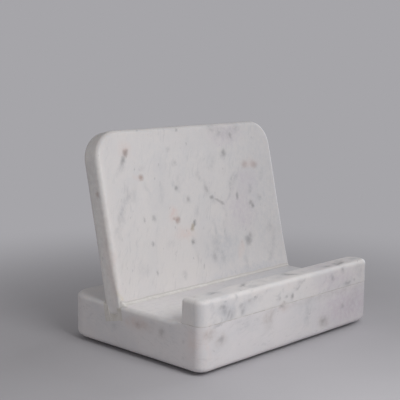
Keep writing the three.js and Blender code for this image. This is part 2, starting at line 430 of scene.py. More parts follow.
# %% The saw cut
SAW_WAVE = 0.12
SAW_WAVELENGTH = 9
SAW_TOP = 24
SAW_OVERRUN = 12
WALL_STEPS = 24
BOTTOM_STEPS = 14
CUT_STATIONS = 110


def saw_cut():
    """A closed bar along x with the slot's section, from the slot's floor to SAW_TOP above the base. Its
    walls wander by up to SAW_WAVE, and it stands out by SAW_OVERRUN at both ends."""
    low = -SLOT_DEPTH
    high = SAW_TOP
    front = SLOT_CLEARANCE
    rear = -PANEL_THICKNESS - SLOT_CLEARANCE
    down = np.linspace(high, low, WALL_STEPS)
    across = np.linspace(front, rear, BOTTOM_STEPS)
    front_wall = np.stack([down, np.full(WALL_STEPS, front)], 1)
    floor_line = np.stack([np.full(BOTTOM_STEPS, low), across], 1)[1:-1]
    rear_wall = np.stack([down[::-1], np.full(WALL_STEPS, rear)], 1)
    top_line = np.stack([np.full(BOTTOM_STEPS, high), across[::-1]], 1)[1:-1]
    section = np.concatenate([front_wall, floor_line, rear_wall, top_line])
    along = np.linspace(base_low[0] - SAW_OVERRUN, base_high[0] + SAW_OVERRUN, CUT_STATIONS)
    points = np.empty((len(along), len(section), 3))
    points[..., 0] = along[:, None]
    points[..., 1:] = section
    points[..., 2] += SAW_WAVE * smooth_noise(points, SAW_WAVELENGTH, seed=5) * (section[:, 0] < high)
    faces = [list(f) for f in grid_faces(len(along), len(section), wrap=True)]
    count = len(section)
    caps = [list(range(count))[::-1], list(range((len(along) - 1) * count, len(along) * count))]
    return piece_from("saw_cut", lean(points), faces + caps)


cutter = saw_cut()
sawing = base.modifiers.new("slot", "BOOLEAN")
sawing.operation = "DIFFERENCE"
sawing.solver = "EXACT"
sawing.object = cutter
sawn = bpy.data.meshes.new_from_object(base.evaluated_get(bpy.context.evaluated_depsgraph_get()))
base.modifiers.clear()
base.data = sawn
bpy.data.objects.remove(cutter)
sawn.shade_smooth()
sawn.set_sharp_from_angle(angle=math.radians(SHARP_DEG))
take_over(base, "marble", "base_slab")

# %% [markdown]
# ## The adhesive in the slot
#
# Stone adhesive fills the space of about a millimetre between the panel's foot and the saw cut, and the
# wedges that the panel's rounded edges leave at the slot's two ends. It is a U-shaped profile carried along
# the slot. Its rear arm is longer, because the slot leans and the base's top meets its rear wall higher up.
# At the ends the paste is rubbed down nearly flush with the stone.

# %% The side of the base at the slot's ends


def rounded_off(past):
    """How far the base's top rounding of radius r has drawn back at a distance d past its start:
    r - sqrt(r^2 - d^2)."""
    past = np.clip(past, 0, BASE_TOP_ARRIS)
    return BASE_TOP_ARRIS - np.sqrt(BASE_TOP_ARRIS**2 - past**2)


def base_side_at(height):
    """How far the base's side reaches in x at a height: its full half width, less the top rounding."""
    return base_high[0] - rounded_off(height - (base_high[2] - BASE_TOP_ARRIS))


print("the base's side, half way up its rounding:", base_side_at(base_high[2] - BASE_TOP_ARRIS / 2))

# %% The bed of adhesive
WIPED_BACK = 0.12
WIPE_WAVE = 0.3
WIPE_WAVELENGTH = 3
END_DISH = 0.05
BELOW_TOP = 0.3
BITE = 0.15
UNDER_PANEL = 5
BED_STEPS = 22
BED_STATIONS = 90


def slot_bed():
    """Outer and inner U lines in (s, n), carried along x from end to end. The outer one bites into the
    stone by BITE. The inner one lies well inside the panel, so the paste also fills the hollows that the
    panel's rounded edges leave at the slot's two ends. There the paste lies back by WIPED_BACK, give or take
    the share WIPE_WAVE of it, and by END_DISH more half way between the two lines."""

    def arm(n, floor):
        """Points down one arm of the U, from BELOW_TOP under the base's top to the floor."""
        brim = -(BELOW_TOP + n * math.sin(PANEL_TILT)) / math.cos(PANEL_TILT)
        return np.stack([np.linspace(brim, floor, BED_STEPS), np.full(BED_STEPS, n)], 1)

    def u_line(front, floor, rear):
        """Down the front arm, across the bottom and up the rear arm."""
        across = np.linspace(front, rear, BED_STEPS)[1:-1]
        under = np.stack([np.full(len(across), floor), across], 1)
        return np.concatenate([arm(front, floor), under, arm(rear, floor)[::-1]])

    wall = SLOT_CLEARANCE + BITE
    foot = SLOT_CLEARANCE - SLOT_DEPTH + UNDER_PANEL
    outer = u_line(wall, -SLOT_DEPTH - BITE, -PANEL_THICKNESS - wall)
    inner = u_line(-UNDER_PANEL, foot, UNDER_PANEL - PANEL_THICKNESS)
    middle = (outer + inner) / 2
    share = np.linspace(-1, 1, BED_STATIONS)[:, None]
    layers = []
    for line, dish in ((outer, 0.0), (middle, END_DISH), (inner, 0.0)):
        flat = np.stack([0 * line[:, 0], line[:, 0], line[:, 1]], axis=-1)
        height = lean(flat)[:, 2]
        wander = smooth_noise(lean(flat), WIPE_WAVELENGTH, seed=61)
        reach = base_side_at(height) - WIPED_BACK * (1 + WIPE_WAVE * wander) - dish
        points = np.empty((len(share), len(line), 3))
        points[..., 0] = share * reach
        points[..., 1] = line[:, 0]
        points[..., 2] = line[:, 1]
        layers.append(lean(points))
    return layers


outer, middle, inner = slot_bed()
print("points of the bed's outer line:", outer.shape)

# %% The adhesive in the slot
rows, columns = outer.shape[:2]
loop = np.concatenate([outer, middle[:, -1:], inner[:, ::-1], middle[:, :1]], axis=1)
faces = [grid_faces(rows, 2 * columns + 2, wrap=True)]
points = [loop.reshape(-1, 3)]
for end, way in ((0, 1), (rows - 1, -1)):
    cap = np.stack([outer[end], middle[end], inner[end]])[::way]
    faces.append(grid_faces(3, columns, wrap=False) + sum(len(p) for p in points))
    points.append(cap.reshape(-1, 3))
slot_fill = piece_from("slot_fill", np.concatenate(points), np.concatenate(faces))
take_over(slot_fill, "adhesive", "slot_adhesive")

# %% [markdown]
# ## The glue line under the lip
#
# A film of the same adhesive shows as a faint seam round the lip. It is the lip's outline with a few rings
# between base and lip, drawn in by an amount that wanders and grows towards the right, where the seam is
# darker.

# %% The glue line
SEAM_BACK = 0.04
SEAM_WANDER = 0.04
SEAM_DEEPER = 0.26
SEAM_HOLLOW = 0.05
SEAM_WAVE = 14
SEAM_RINGS = 5
DEEPER_FROM = -40
DEEPER_OVER = 150


def glue_line():
    """Rings of the lip's outline from the base's top to the lip's underside. They lie back by SEAM_BACK,
    give or take SEAM_WANDER, and by up to SEAM_DEEPER more towards the right. Half way up, a sine adds a
    hollow."""
    level = np.linspace(base_high[2] - FACE_WAVE, lip_low[2] + FACE_WAVE, SEAM_RINGS)[:, None]
    plan, where = full_outline(lip_plate)
    towards_right = np.clip((plan[:, 0] - DEEPER_FROM) / DEEPER_OVER, 0, 1)
    wander = np.clip(smooth_noise(where, SEAM_WAVE, seed=71), -1, 1)
    back = SEAM_BACK + SEAM_DEEPER * towards_right + SEAM_WANDER * wander
    hollow = SEAM_HOLLOW * np.sin(np.linspace(0, np.pi, SEAM_RINGS))[:, None]
    half = np.full((1, len(plan)), (lip_plate["rear"] - lip_plate["front"]) / 2)
    inset = np.concatenate([half, back + hollow, half])
    height = np.concatenate([level[:1], level, level[-1:]]) * np.ones(len(plan))
    return np.concatenate([inset_outline(lip_plate, inset), height[..., None]], axis=-1)


rings = glue_line()
seam = piece_from("seam_film", rings, grid_faces(rings.shape[0], rings.shape[1], wrap=True))
take_over(seam, "adhesive", "lip_adhesive")

# %% [markdown]
# ## The bead along the panel's foot
#
# A thin cove of cream adhesive closes the corner between the panel and the base. It was pressed in and
# wiped by hand: its width wanders, its edges run out in a thin rim and it ends in a small lump over the
# slot on the left. The profile is an arc between the two stones, scaled at each station along x. It is
# lower up the panel than it is deep along the base, and it gets narrower towards the right. An attribute
# keeps how far a point lies from the panel's side of the bead to the base's, so the finish can darken the
# upper edge.

# %% The bead's size along the foot
BEAD_LEG = 3.1
BEAD_REACH = 126
BEAD_SWELL = 0.12
SWELL_WAVE = 16
BEAD_RIPPLE = 0.05
RIPPLE_WAVE = 4
LEFT_END = 1.8
RIGHT_END = 4
LUMP_GROWTH = 0.65
LUMP_PLACE = 1.5
LUMP_WIDTH = 2.4


def bead_size(along):
    """The bead's leg at each station: BEAD_LEG with a slow and a quick wander. It is rounded off like a
    quarter of a circle over LEFT_END and RIGHT_END, and a bell curve near the left end makes the lump."""
    line = np.stack([along, 0 * along, 0 * along], axis=1)
    slow = BEAD_SWELL * smooth_noise(line, SWELL_WAVE, seed=81)
    quick = BEAD_RIPPLE * smooth_noise(line, RIPPLE_WAVE, seed=82)
    size = BEAD_LEG * (1 + slow + quick)
    from_left = np.clip((along + BEAD_REACH) / LEFT_END, 0, 1)
    from_right = np.clip((BEAD_REACH - along) / RIGHT_END, 0, 1)
    lump = LUMP_GROWTH * np.exp(-(((along + BEAD_REACH - LUMP_PLACE) / LUMP_WIDTH) ** 2))
    return size * np.sqrt(1 - (1 - from_left) ** 2) * np.sqrt(1 - (1 - from_right) ** 2) * (1 + lump)


print("bead's leg in the middle:", bead_size(np.zeros(1)))

# %% The bead's points
BEAD_UP = 0.85
BEAD_FORWARD_LEFT = 1.4
BEAD_FORWARD_RIGHT = 0.55
BEAD_EDGE = 0.18
OFF_PANEL = 0.03
OFF_BASE = 0.02
ARC_SHORTER = 0.04
ARC_POINTS = 12
LEFT_ZONE = 8
LEFT_STATIONS = 16
RIGHT_ZONE = 5
RIGHT_STATIONS = 12
MIDDLE_STATIONS = 240


def bead_section():
    """The bead's outline for a leg of 1, as (y, z) from the corner: the corner, the edge on the panel, an
    arc that bulges towards the corner, and the edge on the base. Returns it with the directions up the panel
    and out of it."""
    up = np.array([math.sin(PANEL_TILT), math.cos(PANEL_TILT)])
    out = np.array([-math.cos(PANEL_TILT), math.sin(PANEL_TILT)])
    middle = math.tan((np.pi / 2 + PANEL_TILT) / 2)
    radius = middle - ARC_SHORTER
    turn = np.linspace(-PANEL_TILT, -np.pi / 2, ARC_POINTS)
    arc = np.stack([-1 + radius * np.cos(turn), middle + radius * np.sin(turn)], axis=1)
    return np.concatenate([np.zeros((1, 2)), up[None], arc, [[-1, 0]]]), up, out


def foot_bead():
    """Stations along x, closer together at the ends, times points round the section. The section is scaled
    about the corner: by the bead's size, by BEAD_UP up the panel, and along the base by a share that falls
    from left to right. Its arc is lifted by BEAD_EDGE, so that the paste ends in a thin rim, and the points
    on the stones by a hair. At the ends the foot sinks with the base's rounded edge."""
    left_end = -BEAD_REACH + np.linspace(0, LEFT_ZONE, LEFT_STATIONS)[:-1]
    right_end = BEAD_REACH - np.linspace(0, RIGHT_ZONE, RIGHT_STATIONS)[::-1][1:]
    middle = np.linspace(LEFT_ZONE - BEAD_REACH, BEAD_REACH - RIGHT_ZONE, MIDDLE_STATIONS)
    along = np.concatenate([left_end, middle, right_end])
    size = bead_size(along)
    section, up, out = bead_section()
    count = len(section)
    lift = np.zeros((count, 2))
    lift[1:] = BEAD_EDGE * np.linspace(1, 0, count - 1)[:, None] * out
    lift[1:, 1] += BEAD_EDGE * np.linspace(0, 1, count - 1)
    lift[0] = OFF_PANEL * out + (0, OFF_BASE)
    lift[1] = OFF_PANEL * out
    lift[-1] = (0, OFF_BASE)
    climb = section[:, 1:] / math.cos(PANEL_TILT)
    forward = np.interp(along, (-BEAD_REACH, BEAD_REACH), (BEAD_FORWARD_LEFT, BEAD_FORWARD_RIGHT))
    section = BEAD_UP * climb * up + forward[:, None, None] * (section - climb * up)
    grown = section * size[:, None, None] + lift * np.minimum(size, 1)[:, None, None]
    height = grown[..., 1] / (BEAD_UP * np.maximum(size, 0.01)[:, None])
    points = np.empty((len(along), count, 3))
    points[..., 0] = along[:, None]
    points[..., 1] = PANEL_FOOT_Y + grown[..., 0]
    sunk = rounded_off(np.abs(along) - (base_high[0] - BASE_TOP_ARRIS))
    points[..., 2] = base_high[2] + grown[..., 1] - sunk[:, None] * (1 - np.clip(height, 0, 1))
    return points


bead_points = foot_bead()
print("bead: stations and points round its section:", bead_points.shape[:2])

# %% The bead as a piece


def mark_across(mesh):
    """Stores the angle round the corner on each point, 0 on the panel and 1 on the base, as an attribute."""
    places = np.empty(len(mesh.vertices) * 3)
    mesh.vertices.foreach_get("co", places)
    y, z = places.reshape(-1, 3).T[1:] / MM
    angle = np.arctan2(z - base_high[2], PANEL_FOOT_Y - y)
    share = 1 - np.clip(angle / (np.pi / 2 + PANEL_TILT), 0, 1)
    mesh.attributes.new("across", "FLOAT", "POINT").data.foreach_set("value", share.astype(np.float32))


rows, columns = bead_points.shape[:2]
bead_faces = grid_faces(rows, columns, wrap=True)[:, ::-1]
bead = piece_from("foot_cove", bead_points, bead_faces, sharp_deg=60)
mark_across(bead.data)
take_over(bead, "adhesive", "foot_bead")

# %% [markdown]
# ## The pads
#
# Four round rubber pads keep the stone off the table and leave the thin dark gap under it. Each is a
# profile turned about its own axis, with a soft lower rim and a shallow dish, so that it grips.

# %% The pads
PAD_RIM = 0.6
PAD_DISH = 0.25
DISH_SHARE = 0.7
PAD_CHAMFER = 0.1
RIM_STEPS = 7
PAD_SPOKES = 48


def pad_piece(name, node):
    """A profile of radius and height, turned once round: an underside dished by PAD_DISH over DISH_SHARE of
    its radius, a rounded rim, the wall, a small chamfer and a flat top."""
    low, high = node_box(node)
    middle = (low + high) / 2
    radius = (high[0] - low[0]) / 2
    height = high[2] - low[2]
    turn = np.linspace(0, np.pi / 2, RIM_STEPS)
    dish_r = np.linspace(0, DISH_SHARE * radius, RIM_STEPS)
    dish = np.stack([dish_r, PAD_DISH * np.cos(dish_r / dish_r[-1] * np.pi / 2) ** 2], 1)
    rim = np.stack([radius - PAD_RIM * (1 - np.sin(turn)), PAD_RIM * (1 - np.cos(turn))], 1)
    top = np.array([[radius, height - PAD_CHAMFER], [radius - PAD_CHAMFER, height], [0, height]])
    profile = np.concatenate([dish, rim, top])
    around = np.linspace(0, 2 * np.pi, PAD_SPOKES, endpoint=False)
    points = np.empty((len(profile), len(around), 3))
    points[..., 0] = middle[0] + profile[:, :1] * np.cos(around)
    points[..., 1] = middle[1] + profile[:, :1] * np.sin(around)
    points[..., 2] = low[2] + profile[:, 1:]
    return piece_from(name, points, grid_faces(len(profile), len(around), wrap=True))


pads = []
for row in ("front", "rear"):
    for side in ("left", "right"):
        node = f"pad_{row}_{side}"
        pads.append(pad_piece(f"rubber_{row}_{side}", node))
        take_over(pads[-1], "rubber", node)

# %% [markdown]
# ## Writing shader maths as expressions
#
# A marble needs a few hundred small sums, and wired by hand they are hard to read. One small class wraps a
# socket, so that an expression such as 1 - mask * 0.4 adds the Math nodes it needs. All other nodes come
# from one method, which sets a node's own settings first and then its sockets, and a few short methods
# stand for the nodes that come up most: mixes, steps, vector sums and noises.

# %% Sockets as values


class Value:
    """A number that varies over a surface: one output socket of a node tree."""

    def __init__(self, tree, socket):
        self.tree = tree
        self.socket = socket

    def math(self, operation, *others, clamp=False):
        """A Math node on this value and the others, in the order given."""
        node = self.tree.nodes.new("ShaderNodeMath")
        node.operation = operation
        node.use_clamp = clamp
        for place, given in zip(node.inputs, (self, *others)):
            feed(self.tree, place, given)
        return Value(self.tree, node.outputs[0])

    def constant(self, number):
        """A plain number as the first term of a Math node, for 1 - mask and the like."""
        return number if isinstance(number, Value) else Number(self.tree, number)

    def __add__(self, other):
        return self.math("ADD", other)

    def __sub__(self, other):
        return self.math("SUBTRACT", other)

    def __mul__(self, other):
        return self.math("MULTIPLY", other)

    def __truediv__(self, other):
        return self.math("DIVIDE", other)

    def __rsub__(self, other):
        return self.constant(other).math("SUBTRACT", self)

    __radd__ = __add__
    __rmul__ = __mul__

    def larger(self, other):
        """The larger of two values, point by point."""
        return self.math("MAXIMUM", other)

    def limited(self):
        """The value kept between 0 and 1."""
        return self.math("ADD", 0.0, clamp=True)


class Number(Value):
    """A plain number that starts an expression."""

    def __init__(self, tree, number):
        super().__init__(tree, None)
        self.number = number


def feed(tree, place, given):
    """Puts a number or colour on a socket, or links a value to it."""
    if isinstance(given, Number):
        place.default_value = given.number
    elif isinstance(given, Value):
        tree.links.new(given.socket, place)
    elif hasattr(given, "__len__") and len(given) == 3 and len(place.default_value) == 4:
        place.default_value = (*given, 1)
    else:
        place.default_value = given


print("a Value has the methods", [name for name in vars(Value) if callable(getattr(Value, name))])

# %% A material under construction


class Finish:
    """A node material under construction."""

    def __init__(self, name):
        self.material = bpy.data.materials.new(name)
        self.material.use_nodes = True
        self.tree = self.material.node_tree
        self.tree.nodes.clear()

    def node(self, kind, settings=(), output=0, **sockets):
        """A node of a kind. Settings are its own properties. Sockets are named with underscores for spaces,
        or by s and their number. Returns the chosen output."""
        node = self.tree.nodes.new("ShaderNode" + kind)
        for key, given in dict(settings).items():
            setattr(node, key, given)
        for key, given in sockets.items():
            number = key[1:]
            place = node.inputs[int(number) if number.isdigit() else key.replace("_", " ")]
            feed(self.tree, place, given)
        return Value(self.tree, node.outputs[output]) if len(node.outputs) else None

    def mix(self, share, a, b):
        """Two colours mixed by a share from 0 to 1."""
        return self.node("Mix", {"data_type": "RGBA"}, output=2, s0=share, s6=a, s7=b)

    def step(self, value, low, high, out_low=0.0, out_high=1.0):
        """A smooth step from out_low at low to out_high at high."""
        smooth = {"interpolation_type": "SMOOTHSTEP"}
        return self.node("MapRange", smooth, s0=value, s1=low, s2=high, s3=out_low, s4=out_high)

    def vector(self, operation, *terms, output=0, **sockets):
        """A Vector Math node on the terms, in the order given."""
        numbered = {f"s{place}": term for place, term in enumerate(terms)}
        return self.node("VectorMath", {"operation": operation}, output=output, **numbered, **sockets)

    def millimetres(self):
        """Where a point lies, in millimetres from the object's origin."""
        return self.vector("SCALE", self.node("TexCoord", output=3), Scale=1 / MM)

    def noise(self, place, wave, detail=3.0, roughness=0.5, output=0):
        """A Noise Texture with waves about this long. Its output 0 is a number, its output 1 a colour."""
        shape = {"Scale": 1 / wave, "Detail": detail, "Roughness": roughness}
        return self.node("TexNoise", output=output, Vector=place, **shape)

    def surface(self, shader):
        """Shows this shader."""
        self.node("OutputMaterial", s0=shader)
        return self.material


def linear(*srgb):
    """A colour read from a screen, 0 to 255, as linear light."""
    share = np.array(srgb) / 255
    curve = ((share + 0.055) / 1.055) ** 2.4
    return tuple(float(v) for v in np.where(share <= 0.04045, share / 12.92, curve))


print("mid grey in linear light:", linear(128, 128, 128))

# %% [markdown]
# ## The marble
#
# This is a white marble with cool grey clouds, pale streaks and many small grey flecks, a few of them
# rusty. A picture of a slab, wrapped round each stone, would stretch at the edges and break at the corners.
# Here the pattern is worked out from Object coordinates in millimetres, so a streak that leaves one face
# goes on across the next. Flecks and streaks are longer along the stone's bedding than across it, so each
# stone gets a bedding plane: up the face on the panel, along the bar and steeply across its front on the
# lip.

# %% Bedding


def bedding_turn(first, second):
    """Euler angles that carry the axes x and y onto two directions in the bedding plane, and z onto its
    normal. The second is made square to the first."""
    x = np.array(first, float) / np.linalg.norm(first)
    y = np.array(second, float) - x * np.dot(second, x)
    y /= np.linalg.norm(y)
    turn = Matrix(np.stack([x, y, np.cross(x, y)], axis=1).tolist())
    return tuple(turn.to_euler())


panel_bedding = bedding_turn((0.40, math.sin(PANEL_TILT), math.cos(PANEL_TILT)), (0.25, 1, 0))
lip_bedding = bedding_turn((1.0, 0.25, 0), (-0.45, 0, -1.0))
base_bedding = bedding_turn((1.0, 0.1, 0.25), (0.2, 1, 0.3))
print("the beddings turn by", panel_bedding, lip_bedding, base_bedding)

# %% The marble's colours
MARBLE_WHITE = linear(231, 227, 226)
# Cool grey of the clouds; as the cool stain it is also used for painted shade.
MARBLE_COOL_AND_SHADE = linear(208, 208, 212)
STREAK_GREY = linear(180, 179, 182)
FLECK_GREY = linear(118, 115, 118)
FLECK_RUST = linear(156, 119, 104)
FLECK_GOLD = linear(150, 132, 100)
HALO_PINK = linear(228, 204, 197)
# Lilac halo tone, also used for painted shade on the right of the front.
HALO_LILAC_AND_SHADE = linear(213, 204, 211)
# Brown of real stains, also used for painted shade along the seam.
STAIN_BROWN_AND_SHADE = linear(186, 177, 173)
STAIN_CREAM = linear(214, 202, 176)
# Painted light: a paler tone laid on the panel's left end and the left of the channel floor to brighten them.
PAINTED_LIGHT_TONE = linear(248, 245, 243)
print("the marble's white as linear light:", MARBLE_WHITE)

# %% Clouds, streaks and scattered flecks
GRAIN_WAVE = 1.1
BED_WAVE = 24
BED_SWAY = 14.0
CLOUD_SIZE = (60, 40, 30)
CLOUD_FADE = (0.42, 0.72)
STREAK_SIZE = (15, 9, 2.6)
STREAK_FADE = (0.48, 0.78)
PATCH_SIZE = (40, 30, 18)
PATCH_FADE = (0.40, 0.62)
PATCH_REST = 0.15
FLECK_SHAPE = (1.9, 1.2, 0.8)
FLECK_WAVE = 1.6
FLECK_SWAY = 0.16
FLECK_FADE = (1.0, 0.35)
CHANCE_FADE = 0.12


class Marble(Finish):
    """The marble of one stone: its coordinates, plain and along the bedding, and the patterns in them."""

    def __init__(self, name, bedding, offset):
        super().__init__(name)
        self.mm = self.millimetres()
        moved = self.vector("ADD", self.mm, offset)
        level = self.node("Mapping", {"vector_type": "TEXTURE"}, Vector=moved, Rotation=bedding)
        ripple = self.noise(level, BED_WAVE, roughness=0.55, output=1)
        self.bed = self.shifted(level, ripple, BED_SWAY)
        self.fine = self.noise(self.mm, GRAIN_WAVE, roughness=0.6)

    def shifted(self, vector, noise, amount):
        """The vector moved by a noise colour, by up to half the amount each way."""
        centred = self.vector("SUBTRACT", noise, (0.5, 0.5, 0.5))
        return self.vector("ADD", vector, self.vector("SCALE", centred, Scale=amount))

    def stretched(self, long, wide, thick):
        """Coordinates in which a feature is long and wide in the bedding plane and thick across it."""
        return self.vector("MULTIPLY", self.bed, (1 / long, 1 / wide, 1 / thick))

    def clouds(self):
        """Broad cool patches with soft borders."""
        broad = self.noise(self.stretched(*CLOUD_SIZE), 1, detail=4.0, roughness=0.6)
        return self.step(broad, *CLOUD_FADE)

    def streaks(self):
        """Thin pale lines, gathered where a broader noise allows them."""
        lines = self.noise(self.stretched(*STREAK_SIZE), 1, detail=4.0, roughness=0.6)
        patches = self.noise(self.stretched(*PATCH_SIZE), 1, detail=2.0)
        return self.step(lines, *STREAK_FADE) * self.step(patches, *PATCH_FADE, PATCH_REST, 1.0)

    def scatter(self, spacing, low, high, chance):
        """Small flecks, one in some of the cells of a Voronoi pattern, with a radius from low to high of a
        cell. Returns their mask and a random number for each."""
        cells = self.stretched(*(spacing * share for share in FLECK_SHAPE))
        rough = self.noise(self.mm, FLECK_WAVE, detail=2.0, output=1)
        cells = self.shifted(cells, rough, FLECK_SWAY)
        far = self.node("TexVoronoi", Vector=cells, Scale=1.0, Randomness=1.0)
        lot = self.node("TexVoronoi", output=1, Vector=cells, Scale=1.0, Randomness=1.0)
        red = self.node("SeparateColor", Color=lot)
        green = self.node("SeparateColor", output=1, Color=lot)
        size = low + green * (high - low)
        mask = self.step(far / size, *FLECK_FADE) * self.step(red, chance, chance - CHANCE_FADE)
        return mask, green


print("clouds of", CLOUD_SIZE, "mm and streaks of", STREAK_SIZE, "mm, along and across the bedding")

# %% [markdown]
# ## Marks that make it this stone
#
# Scattered flecks alone would make any piece of this marble. The marks that an eye catches first are listed
# one by one: each row of a table has a place across and up the stone's face, half the mark's width and
# length, its turn in degrees and its strength. They could be painted as a picture, but here every mark is a
# row that is easy to move. Flecks are a few millimetres across and are drawn in the shader. Soft stains are
# broader than the mesh's grid, so they are painted on its points, and the shader only breaks them up.

# %% Flecks on the panel


def count_marks(table):
    """How many rows a table of marks has, all kinds together."""
    return sum(len(rows) for rows in table.values())


PANEL_FLECKS = {
    "grey": [
        (-95.6, 135, 2.6, 4.6, -35, 0.5), (-91, 141.4, 2.8, 4, -30, 0.5), (-30.5, 101.4, 2.1, 2.4, 0, 0.43),
        (-16, 89.2, 2.2, 2.8, 10, 0.32), (-12, 64.4, 1.8, 3.2, -25, 0.66), (-79.5, 74.8, 1.3, 2.7, 0, 0.34),
        (-66.7, 75.3, 2.4, 2.8, 20, 0.27), (-18, 160.2, 1.8, 2.2, 0, 0.42), (12.3, 97, 2.2, 3.8, 22, 0.22),
        (18.8, 87.5, 3.2, 2.2, 0, 0.48), (28, 82.9, 1.4, 7, 60, 0.38), (33.6, 79.8, 1.8, 3.8, 60, 0.42),
        (58.4, 85, 2.2, 4, -10, 0.48), (78.6, 75.6, 2.6, 2.8, 22, 0.38), (81, 72, 2.2, 2.6, 22, 0.5),
        (65.8, 35.8, 4.8, 5, -10, 0.42), (69.6, 41, 2.8, 3.6, -16, 0.34), (10.4, 26.6, 2.2, 3.6, 24, 0.26),
        (-18.3, 45.7, 2.3, 2.8, 0, 0.56), (-73.1, 50.9, 1.9, 2.6, 0, 0.42),
        (-72.9, 22.6, 1.4, 2.6, 0, 0.38), (61.6, 150.3, 2, 3.2, 0, 0.32), (47.2, 132.4, 3.2, 3.8, 0, 0.44),
    ],
    "rust": [
        (-91.2, 142, 3.2, 4.6, -30, 0.34), (-75.7, 116.4, 3.2, 3, 0, 0.58),
        (-35.2, 70.1, 3.8, 3.4, 0, 0.62), (-39.8, 72, 1.8, 1.8, 0, 0.4), (78.2, 117.8, 4.8, 4, 0, 0.22),
        (93, 116.7, 5, 4.6, 0, 0.24),
    ],
    "gold": [(-15.6, 60.2, 2.6, 4, -30, 0.62)],
}
print("flecks on the panel's face:", count_marks(PANEL_FLECKS))

# %% Soft stains and painted shade on the panel
PANEL_STAINS_AND_SHADE = {
    "pink": [
        (-92, 146, 9, 8, 0, 0.34), (-81.5, 116.5, 5, 4, 0, 0.3), (-40, 77.5, 7, 7.5, 0, 0.5),
        (-26, 55, 15, 8, 0, 0.36), (85, 118.5, 14, 5, 0, 0.36), (52, 28, 5, 10, -14, 0.3),
    ],
    "lilac": [(62, 72, 24, 24, 0, 0.55), (76, 100, 18, 14, 0, 0.5), (52, 152, 28, 12, 0, 0.5)],
    "cool": [
        (28, 34, 30, 24, -10, 0.68), (-10, 122, 130, 70, 0, 0.24), (24, 58, 16, 14, 0, 0.4),
        (92, 44, 18, 26, 0, 0.55), (-93, 112, 12, 9, 0, 0.25), (98, 84, 10, 12, 0, 0.45),
        # The cool stains in the next row are painted shade: two darken the panel's foot above the channel,
        # where the lip's shade falls, and a broad one darkens the panel's right half.
        (70, 4, 60, 9, 0, 0.8), (20, 3, 30, 6, 0, 0.5), (98, 88, 80, 120, 0, 0.46),
    ],
    "cream": [(-125.5, 9, 2.4, 9, 0, 0.75)],
    "smoke": [
        (-90, 101, 4, 9, -42, 0.26), (-96, 105, 4, 5, 0, 0.24), (-104, 87, 3, 8, -20, 0.32),
        (-109, 79, 4, 6, -10, 0.36), (-113, 67, 2.6, 10, -14, 0.26), (-100, 129, 3.4, 10, -34, 0.4),
        (-75, 126, 4, 3, 0, 0.45), (-70, 105, 3, 6, 0, 0.22), (-52, 97, 4, 10, -30, 0.22),
        (-30, 102, 5, 5, 0, 0.3), (-24, 110, 3, 7, -25, 0.22), (-16, 89, 5, 5, 0, 0.3),
        (-28, 128, 4, 3.4, 0, 0.6), (-33, 140, 3.4, 3.4, 0, 0.45), (-66, 75, 5, 4.5, 0, 0.3),
        (-49, 46, 8, 5, 0, 0.18), (-91, 28, 6, 9, -10, 0.2), (-17, 44, 4, 5, 0, 0.28),
        (-16, 30, 3, 8, 0, 0.18), (-6, 76, 4, 5, 0, 0.22), (5, 110, 4, 8, 20, 0.28),
        (12, 97, 5, 7, 10, 0.34), (22, 87, 7, 4, -30, 0.32), (28, 123, 4, 10, -40, 0.22),
        (45, 155, 8, 6, 0, 0.62), (33, 160, 7, 4, 0, 0.4), (47, 132, 6, 6, 0, 0.36),
        (60, 152, 7, 6, -20, 0.38), (72, 158, 8, 4, 0, 0.36), (51, 97, 2.6, 17, -30, 0.5),
        (-108, 84, 2.4, 15, -30, 0.52), (-97, 99, 2.4, 10, -42, 0.46), (-115, 74, 2.4, 13, -24, 0.4),
        (60, 103, 2.2, 16, -30, 0.28), (80, 90, 3.4, 3.8, 0, 0.55), (80, 74, 6, 6, 0, 0.38),
        (94, 80, 3.6, 3.6, 0, 0.55), (67, 37, 8, 7, 0, 0.4), (59, 17, 3.4, 15, -14, 0.28),
        (10, 27, 4.5, 6, 0, 0.36), (14, 36, 8, 12, -5, 0.32), (21, 26, 3, 7, 0, 0.45),
        (99, 15, 6, 6, 0, 0.34), (78, 118, 4.6, 4.2, 0, 0.28), (93, 117, 5, 4.6, 0, 0.3),
        (16, 48, 2.4, 20, -8, 0.3), (33, 56, 2.4, 20, -10, 0.26), (103, 46, 5, 7, 0, 0.34),
        (106, 30, 4, 12, -12, 0.3), (100, 103, 3, 9, -30, 0.3), (-37, 15, 3.6, 4, 0, 0.5),
    ],
}
print("soft stains on the panel's face:", count_marks(PANEL_STAINS_AND_SHADE))

# %% [markdown]
# ## Soft stains and painted shading on the points
#
# A soft stain is a place where the stone is a little darker, paler or warmer, with no outline. Blender's
# Vertex Paint could lay it on by hand. Here numpy asks how far each point of the mesh lies from the middle
# of each stain, and keeps the strongest answer as an attribute that the shader reads. The large faces that
# the photograph doesn't show get a few spots at random places, so that they don't look blank. A few rows are
# painted light and shade rather than the stone's own colour: the pale kind is painted light, and some cool,
# lilac and brown rows are painted shade.

# %% Painting the soft stains
FLECK_DEPTH = 6
SOFT_REACH = 1.5
SOFT_FADE = 1.4
DRIFT = 2.2
DRIFT_WAVE = 16
SOFT_COLOURS = {
    "cool": MARBLE_COOL_AND_SHADE,
    "lilac": HALO_LILAC_AND_SHADE,
    "pink": HALO_PINK,
    "brown": STAIN_BROWN_AND_SHADE,
    "cream": STAIN_CREAM,
    "smoke": STREAK_GREY,
    "pale": PAINTED_LIGHT_TONE,
}


